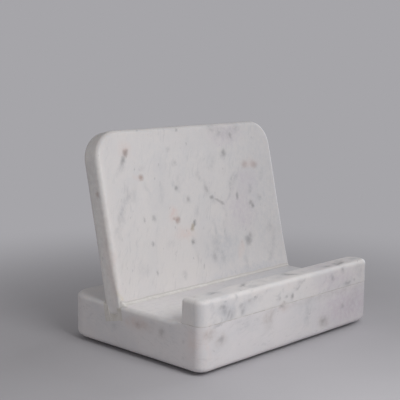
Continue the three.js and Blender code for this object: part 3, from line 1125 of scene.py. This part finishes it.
def soft_field(flat, stains):
    """The strongest of several stains at points (across, up, out of the face). Each fades along a smooth
    step 3 t^2 - 2 t^3, from a tenth of its size to SOFT_REACH times its size."""
    field = np.zeros(len(flat))
    for across, up, half_width, half_length, turn, strength in stains:
        c = math.cos(math.radians(turn))
        s = math.sin(math.radians(turn))
        dx = flat[:, 0] - across
        dy = flat[:, 1] - up
        wide = (dx * c + dy * s) / half_width
        long = (dy * c - dx * s) / half_length
        far = np.linalg.norm(np.stack([wide, long, flat[:, 2] / FLECK_DEPTH]), axis=0)
        t = np.clip((SOFT_REACH - far) / SOFT_FADE, 0, 1)
        field = np.maximum(field, strength * t * t * (3 - 2 * t))
    return field


def chance_stains(seed, count, low, high):
    """Soft spots at random places between two corners, for faces without listed marks."""
    rng = np.random.default_rng(seed)
    places = rng.uniform(low, high, (count, 2))
    halves = rng.uniform(1.6, 4.4, (count, 2))
    turns = rng.uniform(-60, 20, count)
    strengths = rng.uniform(0.1, 0.7, count)
    return np.column_stack([places, halves, turns, strengths]).tolist()


def paint_stains_and_shading(piece, faces):
    """One attribute on the piece's points for each kind of soft stain or painted light and shade. Their
    outlines drift by a few millimetres of smooth noise."""
    places = np.empty(len(piece.data.vertices) * 3)
    piece.data.vertices.foreach_get("co", places)
    points = places.reshape(-1, 3) / MM
    waves = [smooth_noise(points, DRIFT_WAVE, seed=91), smooth_noise(points, DRIFT_WAVE, seed=92)]
    drift = DRIFT * np.stack(waves, axis=1)
    for kind in SOFT_COLOURS:
        field = np.zeros(len(points))
        for place, stains in faces:
            flat = (points - place["Location"]) @ np.array(Euler(place["Rotation"]).to_matrix())
            flat[:, :2] += drift
            field = np.maximum(field, soft_field(flat, stains.get(kind, ())))
        values = piece.data.attributes.new(kind, "FLOAT", "POINT").data
        values.foreach_set("value", field.astype(np.float32))
        print(piece.name, kind, "covers", round(float((field > 0.05).mean()), 3))


print("kinds of soft stain:", list(SOFT_COLOURS))

# %% [markdown]
# ## Flecks in the shader
#
# A fleck is a grain of another mineral, with an outline finer than the mesh, so its points can't carry it.
# A Mapping node of the Texture kind turns the surface into the fleck's own round space, and a smooth step
# on the distance from its middle gives the mark. Each fleck takes four nodes, and a material with more than
# about 400 nodes came out black here, so only the flecks that catch the eye are drawn this way.

# %% Flecks as masks
MARK_FADE = (1.6, 0.1)
BREAK_WAVE = 5
BREAK_RANGE = (0.4, 1.25)
LINES_SHARE = 0.3
RAG_WAVE = 3.4
RAG_SWAY = 4.2
FLECK_COLOURS = {"grey": FLECK_GREY, "rust": FLECK_RUST, "gold": FLECK_GOLD}


def fleck_mask(stone, flat, flecks):
    """The strongest of several flecks in a face's flat coordinates (across, up, out of the face)."""
    total = None
    for across, up, half_width, half_length, turn, strength in flecks:
        own = stone.node(
            "Mapping",
            {"vector_type": "TEXTURE"},
            Vector=flat,
            Location=(across, up, 0),
            Rotation=(0, 0, math.radians(turn)),
            Scale=(half_width, half_length, FLECK_DEPTH),
        )
        far = stone.vector("LENGTH", own, output=1)
        fleck = stone.step(far, *MARK_FADE, 0.0, strength)
        total = fleck if total is None else total.larger(fleck)
    return total


def stained_and_shaded(stone, colour, faces, lines):
    """The colour with the soft stains and the painted light and shade on it, broken up by the streaks and a
    noise, and then with each face's flecks, whose outlines a finer noise makes ragged."""
    broken = stone.noise(stone.mm, BREAK_WAVE, detail=5.0, roughness=0.65)
    share = stone.step(broken, 0.3, 0.7, *BREAK_RANGE) + lines * LINES_SHARE
    for kind, soft_colour in SOFT_COLOURS.items():
        if any(kind in stains for place, stains in faces):
            field = stone.node("Attribute", {"attribute_name": kind}, output=2)
            colour = stone.mix((field * share).limited(), colour, soft_colour)
    for place, stains in faces:
        if not FLECK_COLOURS.keys() & stains.keys():
            continue
        flat = stone.node("Mapping", {"vector_type": "TEXTURE"}, Vector=stone.mm, **place)
        ragged = stone.shifted(flat, stone.noise(flat, RAG_WAVE, roughness=0.6, output=1), RAG_SWAY)
        for kind, fleck_colour in FLECK_COLOURS.items():
            if kind in stains:
                colour = stone.mix(fleck_mask(stone, ragged, stains[kind]), colour, fleck_colour)
    return colour


print("kinds of fleck:", list(FLECK_COLOURS))

# %% [markdown]
# ## From pattern to polished stone
#
# The stone is honed, not mirror-polished: a soft sheen with a roughness near 0.4 that the clouds and flecks
# change a little. A fine bump gives the sugary grain that a raking light shows. A trace of light goes into
# the stone, which is what makes its edges look soft. One function builds all three marbles, so they are
# told apart only by their bedding, their place in the block, their marks and a few strengths.

# %% One marble for each stone
SMALL_FLECKS = {"spacing": 4.2, "low": 0.16, "high": 0.34, "chance": 0.22}
LARGE_FLECKS = {"spacing": 11.0, "low": 0.12, "high": 0.26, "chance": 0.22}
FAINTEST_FLECK = 0.3
LARGE_FLECK_SHARE = 0.8
GRAIN_SHARE = 0.06
HONED = 0.40
BUMP_HEIGHT = 0.0002


def marble_finish(name, bedding, offset, faces, white=MARBLE_WHITE, cloud=0.5, streak=0.34, fleck=0.34):
    """Builds the marble: white, clouds, streaks, scattered flecks, then each face's listed marks, painted
    light and painted shade.
    """
    stone = Marble(name, bedding, offset)
    clouds = stone.clouds()
    streaks = stone.streaks()
    colour = stone.mix(clouds * cloud, white, MARBLE_COOL_AND_SHADE)
    colour = stone.mix(streaks * streak, colour, STREAK_GREY)
    small, lot = stone.scatter(**SMALL_FLECKS)
    own_strength = FAINTEST_FLECK + lot * (1 - FAINTEST_FLECK)
    colour = stone.mix(small * own_strength * fleck, colour, FLECK_GREY)
    large = stone.scatter(**LARGE_FLECKS)[0]
    colour = stone.mix(large * fleck * LARGE_FLECK_SHARE, colour, FLECK_GREY)
    dark = (small + large).limited()
    colour = stained_and_shaded(stone, colour, faces, streaks)
    grain = stone.step(stone.fine, 0.3, 0.7)
    colour = stone.mix(grain * GRAIN_SHARE, colour, (1.0, 1.0, 1.0))
    roughness = HONED + grain * 0.10 + dark * 0.06 - clouds * 0.04
    height = stone.fine * 0.6 + dark * -0.4
    bump = stone.node("Bump", Strength=0.10, Distance=BUMP_HEIGHT, Height=height)
    shader = stone.node(
        "BsdfPrincipled",
        Base_Color=colour,
        Roughness=roughness,
        Normal=bump,
        IOR=1.5,
        Specular_IOR_Level=0.45,
        Subsurface_Weight=0.12,
        Subsurface_Radius=(1.0, 0.8, 0.65),
        Subsurface_Scale=0.003,
    )
    return stone.surface(shader)


def dress(piece, material):
    """The piece wears one material."""
    piece.data.materials.clear()
    piece.data.materials.append(material)
    print(piece.name, "wears", material.name, "with", len(material.node_tree.nodes), "nodes")


print("cells for flecks, in mm:", SMALL_FLECKS["spacing"], "and", LARGE_FLECKS["spacing"])

# %% [markdown]
# ## The panel's marble
#
# The panel is the stone that faces the viewer, so it carries most of the marks. Every face with marks gets
# flat coordinates of its own: across the face, up it and out of it. They are kept as the Location and
# Rotation of a Mapping node, which the shader uses for the flecks and numpy for the soft stains. The left
# end of the stand lies in one plane, so the panel's end and the base's side share one such place. On the
# front and on the left end, heights count from STAIN_LEVEL above the floor.

# %% Places of the panel's faces
STAIN_LEVEL = 1.7


def face_place(x, y, z, *turn):
    """Where a face's flat coordinates start and how they are turned, as a Mapping node takes them."""
    return {"Location": (float(x), float(y), float(z)), "Rotation": turn}


panel_face = face_place(0, PANEL_FOOT_Y, base_high[2], math.pi / 2 - PANEL_TILT, 0, 0)
panel_back = face_place(
    0,
    PANEL_FOOT_Y + PANEL_THICKNESS * math.cos(PANEL_TILT),
    base_high[2] - PANEL_THICKNESS * math.sin(PANEL_TILT),
    *panel_face["Rotation"],
)
left_end = face_place(base_low[0], 0, STAIN_LEVEL, math.pi / 2, 0, math.pi / 2)
print("the panel's face starts at", panel_face["Location"])

# %% The panel's marble
PANEL_END_MARKS_AND_LIGHT = {
    "pink": [(29, 84, 6, 50, -13, 0.5)],
    "brown": [(45, 143, 5, 6, 0, 0.35)],
    "smoke": [
        (56, 176, 6, 8, -13, 0.3), (55, 160, 5, 8, -13, 0.3), (42, 96, 3, 12, -13, 0.14),
        (38, 76, 3, 12, -13, 0.14),
    ],
    "rust": [(45, 145, 2.4, 2.6, 0, 0.42)],
    # Painted light: this pale stain over the whole end brightens the panel's left end.
    "pale": [(42, 118, 40, 160, -13, 0.62)],
}
PANEL_BACK_STAINS = {
    "smoke": chance_stains(11, 30, (-120, 4), (120, 160)),
    "brown": chance_stains(12, 6, (-115, 8), (115, 155)),
    "cool": [(40, 60, 26, 30, 20, 0.5), (-60, 110, 30, 20, -10, 0.5)],
}
panel_faces = (
    (panel_face, PANEL_FLECKS | PANEL_STAINS_AND_SHADE),
    (left_end, PANEL_END_MARKS_AND_LIGHT),
    (panel_back, PANEL_BACK_STAINS),
)
paint_stains_and_shading(panel, panel_faces)
panel_white = linear(229, 225, 224)
panel_marble = marble_finish(
    "marble_panel", panel_bedding, (31, 7, 12), panel_faces, white=panel_white, cloud=0.28
)
dress(panel, panel_marble)

# %% [markdown]
# ## The marble of the lip and the base
#
# The lip and the base are cut from other parts of the block. On the lip the bedding lies along the bar, so
# its top shows long dashes and its front shows short slanting ones. The base is the calmest of the three.
# Seen from the front the two stones make one face, so one table sets the marks on both, with painted
# shade towards the right. Two short ones add flecks on the lip alone and painted shade on the base along
# the seam.

# %% Marks on the lip's top
LIP_TOP_MARKS = {
    "smoke": [
        (-97, -77, 9, 5, 8, 0.6), (-118, -74, 5, 6, 0, 0.25), (-54, -75, 10, 4, 28, 0.65),
        (-50, -84, 9, 4, -20, 0.5), (-70, -84, 8, 3, 20, 0.3), (-84, -70, 5, 2, 20, 0.35),
        (-33, -76, 6, 6, 20, 0.35), (-8, -80, 6, 6, 20, 0.28), (8, -77, 9, 6, -30, 0.7),
        (14, -82, 8, 4, -35, 0.5), (27, -82, 6, 4, 0, 0.35), (65, -82, 9, 4, 0, 0.55),
        (86, -84, 12, 4, 12, 0.7), (96, -76, 6, 4, 20, 0.4), (116, -80, 6, 5, 0, 0.45),
    ],
    "lilac": [(70, -78, 50, 12, 0, 0.45)],
    "brown": [(88, -83, 11, 5, 12, 0.5)],
    "grey": [
        (-97, -77, 5.5, 1.3, 8, 0.4), (-55, -75, 6, 1.2, 28, 0.46), (10, -79, 7, 1.8, -36, 0.5),
        (64, -83, 5, 1.5, 0, 0.42), (85, -84, 8.5, 1.5, 12, 0.56),
    ],
}
print("marks on the lip's top:", count_marks(LIP_TOP_MARKS))

# %% Marks and painted shade on the front
FRONT_MARKS_AND_SHADE = {
    "cool": [
        (-95, 54, 14, 9, 0, 0.7), (-68, 56, 16, 8, 0, 0.5), (20, 30, 30, 14, 0, 0.45),
        # Partly the stone's own grey and partly painted shade: this broad cool stain darkens the right of the
        # front.
        (85, 20, 70, 16, 0, 0.36),
    ],
    # The lilac stains are partly the stone's own lilac tone and partly painted shade that darkens the right
    # of the lip and the base.
    "lilac": [(72, 54, 44, 11, 0, 0.6), (92, 24, 48, 20, 0, 1)],
    "pink": [(-16, 42, 10, 4, 0, 0.22), (-119, 28, 4, 18, 0, 0.22)],
    "brown": [
        (-115, 36, 8, 6, 0, 0.6), (-101, 28, 7, 6, 0, 0.4), (-36, 35, 8, 9, -30, 0.42),
        (51, 15, 9, 7, -10, 0.62), (-15, 43, 9, 3.5, 0, 0.5),
    ],
    "smoke": [
        (-98, 54, 9, 6, -20, 0.42), (-89, 50, 5, 9, -35, 0.4), (-73, 52, 5, 8, -30, 0.34),
        (-61, 57, 6, 5, 0, 0.34), (-50, 58, 6, 4, 0, 0.3), (-38, 61, 7, 3, 0, 0.26),
        (-20, 52, 4, 4, 0, 0.32), (-9, 51, 5, 3, 0, 0.28), (-1, 50, 4, 4, 0, 0.4), (8, 60, 9, 5, 20, 0.34),
        (-70, 37, 9, 3, 0, 0.24), (51, 15, 7, 6, -10, 0.34), (24, 27, 5, 11, 0, 0.34),
        (83, 24, 4, 4, 0, 0.34), (64, 57, 6, 4, 0, 0.36), (90, 47, 9, 3, 6, 0.4), (80, 63, 5, 3, 0, 0.4),
        (108, 60, 8, 7, 0, 0.26), (100, 30, 9, 14, -20, 0.2),
    ],
    "grey": [
        (-96.7, 54.1, 4.6, 3.6, -25, 0.2), (-98.5, 57.6, 4.6, 1.3, -28, 0.34),
        (-91.5, 51, 1.4, 4.4, -25, 0.3), (-81.8, 63.9, 2, 2.4, 0, 0.26), (-0.9, 49.4, 2.2, 2.8, 0, 0.5),
        (-16.9, 42.2, 4, 1.6, 0, 0.34), (-101.3, 28.6, 3.4, 3, 0, 0.36), (-104.5, 42.4, 6.5, 1.6, 8, 0.36),
        (80.6, 62.7, 2.6, 2.4, 0, 0.3), (63.8, 56, 2.6, 2.2, -20, 0.2), (90.8, 47.1, 5, 1.5, 6, 0.32),
        (52, 15.2, 4.6, 4, -18, 0.18), (82.8, 24.2, 2.2, 2.2, 0, 0.26),
    ],
}
LIP_FRONT_FLECKS = {
    "grey": [
        (-103, 57.8, 2.6, 1.8, -20, 0.22), (-88, 46.8, 1.8, 3, -35, 0.26), (-75.5, 54.5, 2.6, 2.6, 0, 0.24),
        (-73, 48.5, 2.2, 3.6, -30, 0.24), (-64, 57, 3, 1.8, 15, 0.24), (-55, 58.5, 3.4, 1.6, 20, 0.24),
        (-19.5, 51.3, 1.6, 1.8, 0, 0.26), (-9.5, 51, 1.8, 1.6, 0, 0.26), (-13, 46, 2.6, 1.4, -20, 0.24),
        (8, 56.5, 4, 1.3, 25, 0.24), (16, 61.5, 4, 1.2, 25, 0.2),
    ],
}
# Painted shade: a faint brown band darkens the base just below the seam.
SEAM_PAINTED_SHADE = {"brown": [(35, 42, 90, 4.5, 0, 0.26)]}
print("marks on the front:", count_marks(FRONT_MARKS_AND_SHADE))

# %% Marks, painted light and painted shade on the other faces
LEFT_SIDE_MARKS = {
    "pink": [(-8, 31, 15, 7, 0, 0.45), (-80, 28, 8, 16, 0, 0.3)],
    "brown": [(-16, 31, 22, 6, 0, 0.22), (-43, 30, 5, 4, 0, 0.45)],
    "smoke": [(-43, 30, 4, 3, 0, 0.3), (-10, 30, 4.5, 4, 0, 0.34), (19, 24, 6, 3, 0, 0.3)],
    "rust": [(-10, 29.9, 3, 2.6, 0, 0.16)],
}
RIGHT_END_STAINS = {"smoke": chance_stains(13, 10, (-88, 6), (88, 64)), "brown": [(20, 22, 9, 6, 20, 0.5)]}
REAR_STAINS = {"smoke": chance_stains(14, 10, (-115, 6), (115, 40)), "cool": [(50, 24, 30, 12, 0, 0.5)]}
BASE_TOP_STAINS_LIGHT_AND_SHADE = {
    # Painted shade: this broad cool stain darkens the channel floor on the right, where the lip shades it.
    "cool": [(75, -25, 72, 45, 0, 0.85)],
    "smoke": chance_stains(15, 6, (-100, 55), (100, 82)),
    # Painted light: this pale stain brightens the left of the channel floor.
    "pale": [(-112, -12, 62, 60, 0, 0.50)],
}
print("random spots on the base's rear:", len(REAR_STAINS["smoke"]))

# %% The marble of the lip and the base
front = face_place(0, base_low[1], STAIN_LEVEL, math.pi / 2, 0, 0)
lip_top = face_place(0, 0, lip_high[2], 0, 0, 0)
base_top = face_place(0, 0, base_high[2], 0, 0, 0)
right_end = face_place(base_high[0], 0, 0, math.pi / 2, 0, math.pi / 2)
rear = face_place(0, base_high[1], 0, math.pi / 2, 0, 0)
lip_faces = (
    (front, FRONT_MARKS_AND_SHADE),
    (front, LIP_FRONT_FLECKS),
    (lip_top, LIP_TOP_MARKS),
    (right_end, RIGHT_END_STAINS),
)
base_faces = (
    (front, FRONT_MARKS_AND_SHADE),
    (front, SEAM_PAINTED_SHADE),
    (left_end, LEFT_SIDE_MARKS),
    (right_end, RIGHT_END_STAINS),
    (rear, REAR_STAINS),
    (base_top, BASE_TOP_STAINS_LIGHT_AND_SHADE),
)
paint_stains_and_shading(lip, lip_faces)
paint_stains_and_shading(base, base_faces)
lip_marble = marble_finish("marble_lip", lip_bedding, (-60, 25, 40), lip_faces, streak=0.42)
base_white = linear(228, 224, 225)
base_marble = marble_finish(
    "marble_base", base_bedding, (15, -80, 66), base_faces, white=base_white, cloud=0.4, fleck=0.2
)
dress(lip, lip_marble)
dress(base, base_marble)

# %% [markdown]
# ## Adhesive
#
# The adhesive is a polyester paste, cream or a little greyer than the stone. It cures with a dull skin,
# fine pores and a slightly uneven tint, so a plain colour would look like plastic. One function gives each
# paste its mottled colour and a bump of its own. The bead is also darker along its upper edge, and painted
# shade darkens it towards its right end.

# %% The adhesive
PASTE_WAVE = 6
PORE_SPACING = 1.3
PORE_FADE = (0.28, 0.10)
# The bead's upper edge is darker, and painted shade darkens the bead towards its right end.
DARK_EDGE_FADE = (0.36, 0.24)
RIGHT_SHADE_FADE = (-10, 110)
RIGHT_SHADE_SHARE = 0.8
PASTE_BUMP = 0.0002


def adhesive_finish(name, light, dark, pore_tint, overlay=None):
    """Mottled paste with pores. With an overlay colour, the across attribute carries the paste from it to the
    paste's own colour, so the upper edge is darker, and the overlay also darkens the paste towards the right
    as painted shade."""
    paste = Finish(name)
    mm = paste.millimetres()
    mottle = paste.noise(mm, PASTE_WAVE)
    pores = paste.node("TexVoronoi", Vector=mm, Scale=1 / PORE_SPACING)
    pit = paste.step(pores, *PORE_FADE)
    colour = paste.mix(paste.step(mottle, 0.35, 0.65), dark, light)
    colour = paste.mix(pit * 0.5, colour, pore_tint)
    if overlay:
        # Darker along the bead's upper edge, next to the panel.
        across = paste.node("Attribute", {"attribute_name": "across"}, output=2)
        colour = paste.mix(paste.step(across + mottle * 0.1, *DARK_EDGE_FADE), colour, overlay)
        # Painted shade: the bead darkens towards its right end.
        along = paste.node("SeparateXYZ", Vector=mm)
        colour = paste.mix(paste.step(along, *RIGHT_SHADE_FADE) * RIGHT_SHADE_SHARE, colour, overlay)
    bump = paste.node("Bump", Strength=0.3, Distance=PASTE_BUMP, Height=mottle * 0.7 - pit)
    roughness = 0.46 + mottle * 0.16
    shader = paste.node(
        "BsdfPrincipled", Base_Color=colour, Roughness=roughness, Normal=bump, Specular_IOR_Level=0.4
    )
    return paste.surface(shader)


BEAD_LIGHT = linear(237, 234, 231)
BEAD_DARK = linear(228, 224, 220)
BEAD_PORE = linear(204, 199, 191)
# The bead's darker tone: on its upper edge, and as painted shade towards its right end.
BEAD_DARKER_TONE = linear(212, 208, 205)
JOINT_LIGHT = linear(226, 222, 218)
JOINT_DARK = linear(215, 210, 204)
JOINT_PORE = linear(176, 170, 162)
SEAM_LIGHT = linear(221, 216, 213)
SEAM_DARK = linear(197, 191, 188)
SEAM_PORE = linear(150, 145, 141)
dress(bead, adhesive_finish("adhesive_bead", BEAD_LIGHT, BEAD_DARK, BEAD_PORE, BEAD_DARKER_TONE))
dress(slot_fill, adhesive_finish("adhesive_joint", JOINT_LIGHT, JOINT_DARK, JOINT_PORE))
dress(seam, adhesive_finish("adhesive_seam", SEAM_LIGHT, SEAM_DARK, SEAM_PORE))

# %% [markdown]
# ## Rubber
#
# The pads are plain dark rubber. Moulded rubber has a faint texture and picks up dust, and the two together
# tell it from black plastic: a fine noise for the bump and the sheen, and a broader one for the dust.

# %% The rubber
RUBBER_GRAIN = 0.7
RUBBER_DUST_WAVE = 5
RUBBER_BLACK = linear(38, 37, 37)
RUBBER_DUST = linear(92, 90, 88)
RUBBER_BUMP = 0.0001


def rubber_finish():
    """Dark rubber: dust on a mould texture."""
    rubber = Finish("pad_rubber")
    mm = rubber.millimetres()
    speckle = rubber.noise(mm, RUBBER_GRAIN, detail=4.0, roughness=0.7)
    overlay = rubber.noise(mm, RUBBER_DUST_WAVE)
    colour = rubber.mix(rubber.step(overlay, 0.5, 0.75) * 0.4, RUBBER_BLACK, RUBBER_DUST)
    bump = rubber.node("Bump", Strength=0.4, Distance=RUBBER_BUMP, Height=speckle)
    roughness = 0.72 + speckle * 0.16
    shader = rubber.node("BsdfPrincipled", Base_Color=colour, Roughness=roughness, Normal=bump)
    return rubber.surface(shader)


pad_rubber = rubber_finish()
for pad in pads:
    dress(pad, pad_rubber)

# %% [markdown]
# ## The floor
#
# The table under the stand is not part of the object. A plain pale disc takes its place: it carries the
# shadow and throws light back on the lower edges. A plane that ends somewhere would draw a horizon. This
# disc fades far from the stand to the background's own tone, for the camera only, so that the marble stands
# out against it and no line cuts the picture.

# %% The floor
BACKGROUND = linear(166, 165, 169)
FLOOR_TONE = linear(193, 191, 195)
FLOOR_MOTTLE = linear(185, 183, 187)
MOTTLE_WAVE = 1 / 9
MOTTLE_SHARE = 0.25
FADE_FROM_TO = (0.16, 0.62)
FLOOR_RADIUS = 6.0
FLOOR_RINGS = 24
FLOOR_SPOKES = 64


def floor_disc():
    """Rings of a disc, wider apart towards the rim."""
    radius = FLOOR_RADIUS * np.linspace(0, 1, FLOOR_RINGS)[:, None] ** 2
    around = np.linspace(0, 2 * np.pi, FLOOR_SPOKES, endpoint=False)
    points = np.empty((FLOOR_RINGS, FLOOR_SPOKES, 3))
    points[..., 0] = radius * np.cos(around) / MM
    points[..., 1] = radius * np.sin(around) / MM
    points[..., 2] = 0
    return piece_from("floor", points, grid_faces(FLOOR_RINGS, FLOOR_SPOKES, wrap=True))


def floor_finish():
    """Matt pale floor that fades into the background for the camera."""
    floor = Finish("pale_floor")
    place = floor.node("TexCoord", output=3)
    mottle = floor.noise(place, MOTTLE_WAVE, detail=4.0)
    colour = floor.mix(floor.step(mottle, 0.3, 0.7) * MOTTLE_SHARE, FLOOR_TONE, FLOOR_MOTTLE)
    matt = floor.node("BsdfPrincipled", Base_Color=colour, Roughness=0.75, Specular_IOR_Level=0.2)
    glow = floor.node("Emission", Color=BACKGROUND, Strength=1.0)
    far = floor.step(floor.vector("LENGTH", place, output=1), *FADE_FROM_TO)
    seen = floor.node("LightPath", output=0)
    return floor.surface(floor.node("MixShader", s0=far * seen, s1=matt, s2=glow))


floor = floor_disc()
floor.data.materials.append(floor_finish())
print("floor of", FLOOR_RADIUS, "m radius")

# %% [markdown]
# ## The light
#
# The stand was photographed in soft window light from the front left. Here a near lamp does the same, and
# its light falls off towards the right end as it does there. A second lamp high in front fills the top
# faces. One behind on the left lights the rims from there, and a broad one on the right stands for a bright
# wall that lifts the right half of the stand. A grey world keeps the left end in soft shade. A picture of a
# room could light the stand as well, but each lamp can be moved and dimmed on its own until the shading is
# right.

# %% The world
scene = bpy.context.scene
scene.view_settings.view_transform = "Standard"
WORLD_TINT = (1.0, 0.985, 0.985)
WORLD_LEVEL = 0.242


def world_light():
    """A soft grey all round, and the background's tone where the camera sees past the floor."""
    world = bpy.data.worlds.new("studio")
    world.use_nodes = True
    tree = world.node_tree
    tree.nodes.clear()
    output = tree.nodes.new("ShaderNodeOutputWorld")
    path = tree.nodes.new("ShaderNodeLightPath")
    soft = tree.nodes.new("ShaderNodeBackground")
    soft.inputs[0].default_value = (*WORLD_TINT, 1)
    soft.inputs[1].default_value = WORLD_LEVEL
    plain = tree.nodes.new("ShaderNodeBackground")
    plain.inputs[0].default_value = (*BACKGROUND, 1)
    both = tree.nodes.new("ShaderNodeMixShader")
    tree.links.new(path.outputs["Is Camera Ray"], both.inputs[0])
    tree.links.new(soft.outputs[0], both.inputs[1])
    tree.links.new(plain.outputs[0], both.inputs[2])
    tree.links.new(both.outputs[0], output.inputs[0])
    return world


scene.world = world_light()
print("world at", WORLD_LEVEL)

# %% The lamps
STAND_MIDDLE = (0, 0, 0.08)


def soft_lamp(name, place, size, power, aim=STAND_MIDDLE, colour=(1, 1, 1)):
    """A square area lamp at a place, turned towards a point."""
    data = bpy.data.lights.new(name, "AREA")
    data.shape = "SQUARE"
    data.size = size
    data.energy = power
    data.color = colour
    lamp = bpy.data.objects.new(name, data)
    lamp.location = place
    lamp.rotation_euler = (Vector(aim) - Vector(place)).to_track_quat("-Z", "Y").to_euler()
    scene.collection.objects.link(lamp)
    print("lamp", name, power, "W")


soft_lamp("window", place=(-0.155, -0.432, 0.35), size=0.26, power=1.25, aim=(-0.05, 0, 0.06))
soft_lamp("ceiling", place=(0.0, -0.7, 1.4), size=0.8, power=0.9, colour=(0.92, 0.96, 1.0))
soft_lamp("behind", place=(-1.2, 0.9, 0.5), size=0.8, power=1.4)
soft_lamp("right_wall", place=(1.6, -0.1, 0.5), size=1.0, power=7.6, colour=(0.94, 0.96, 1.0))

# %% [markdown]
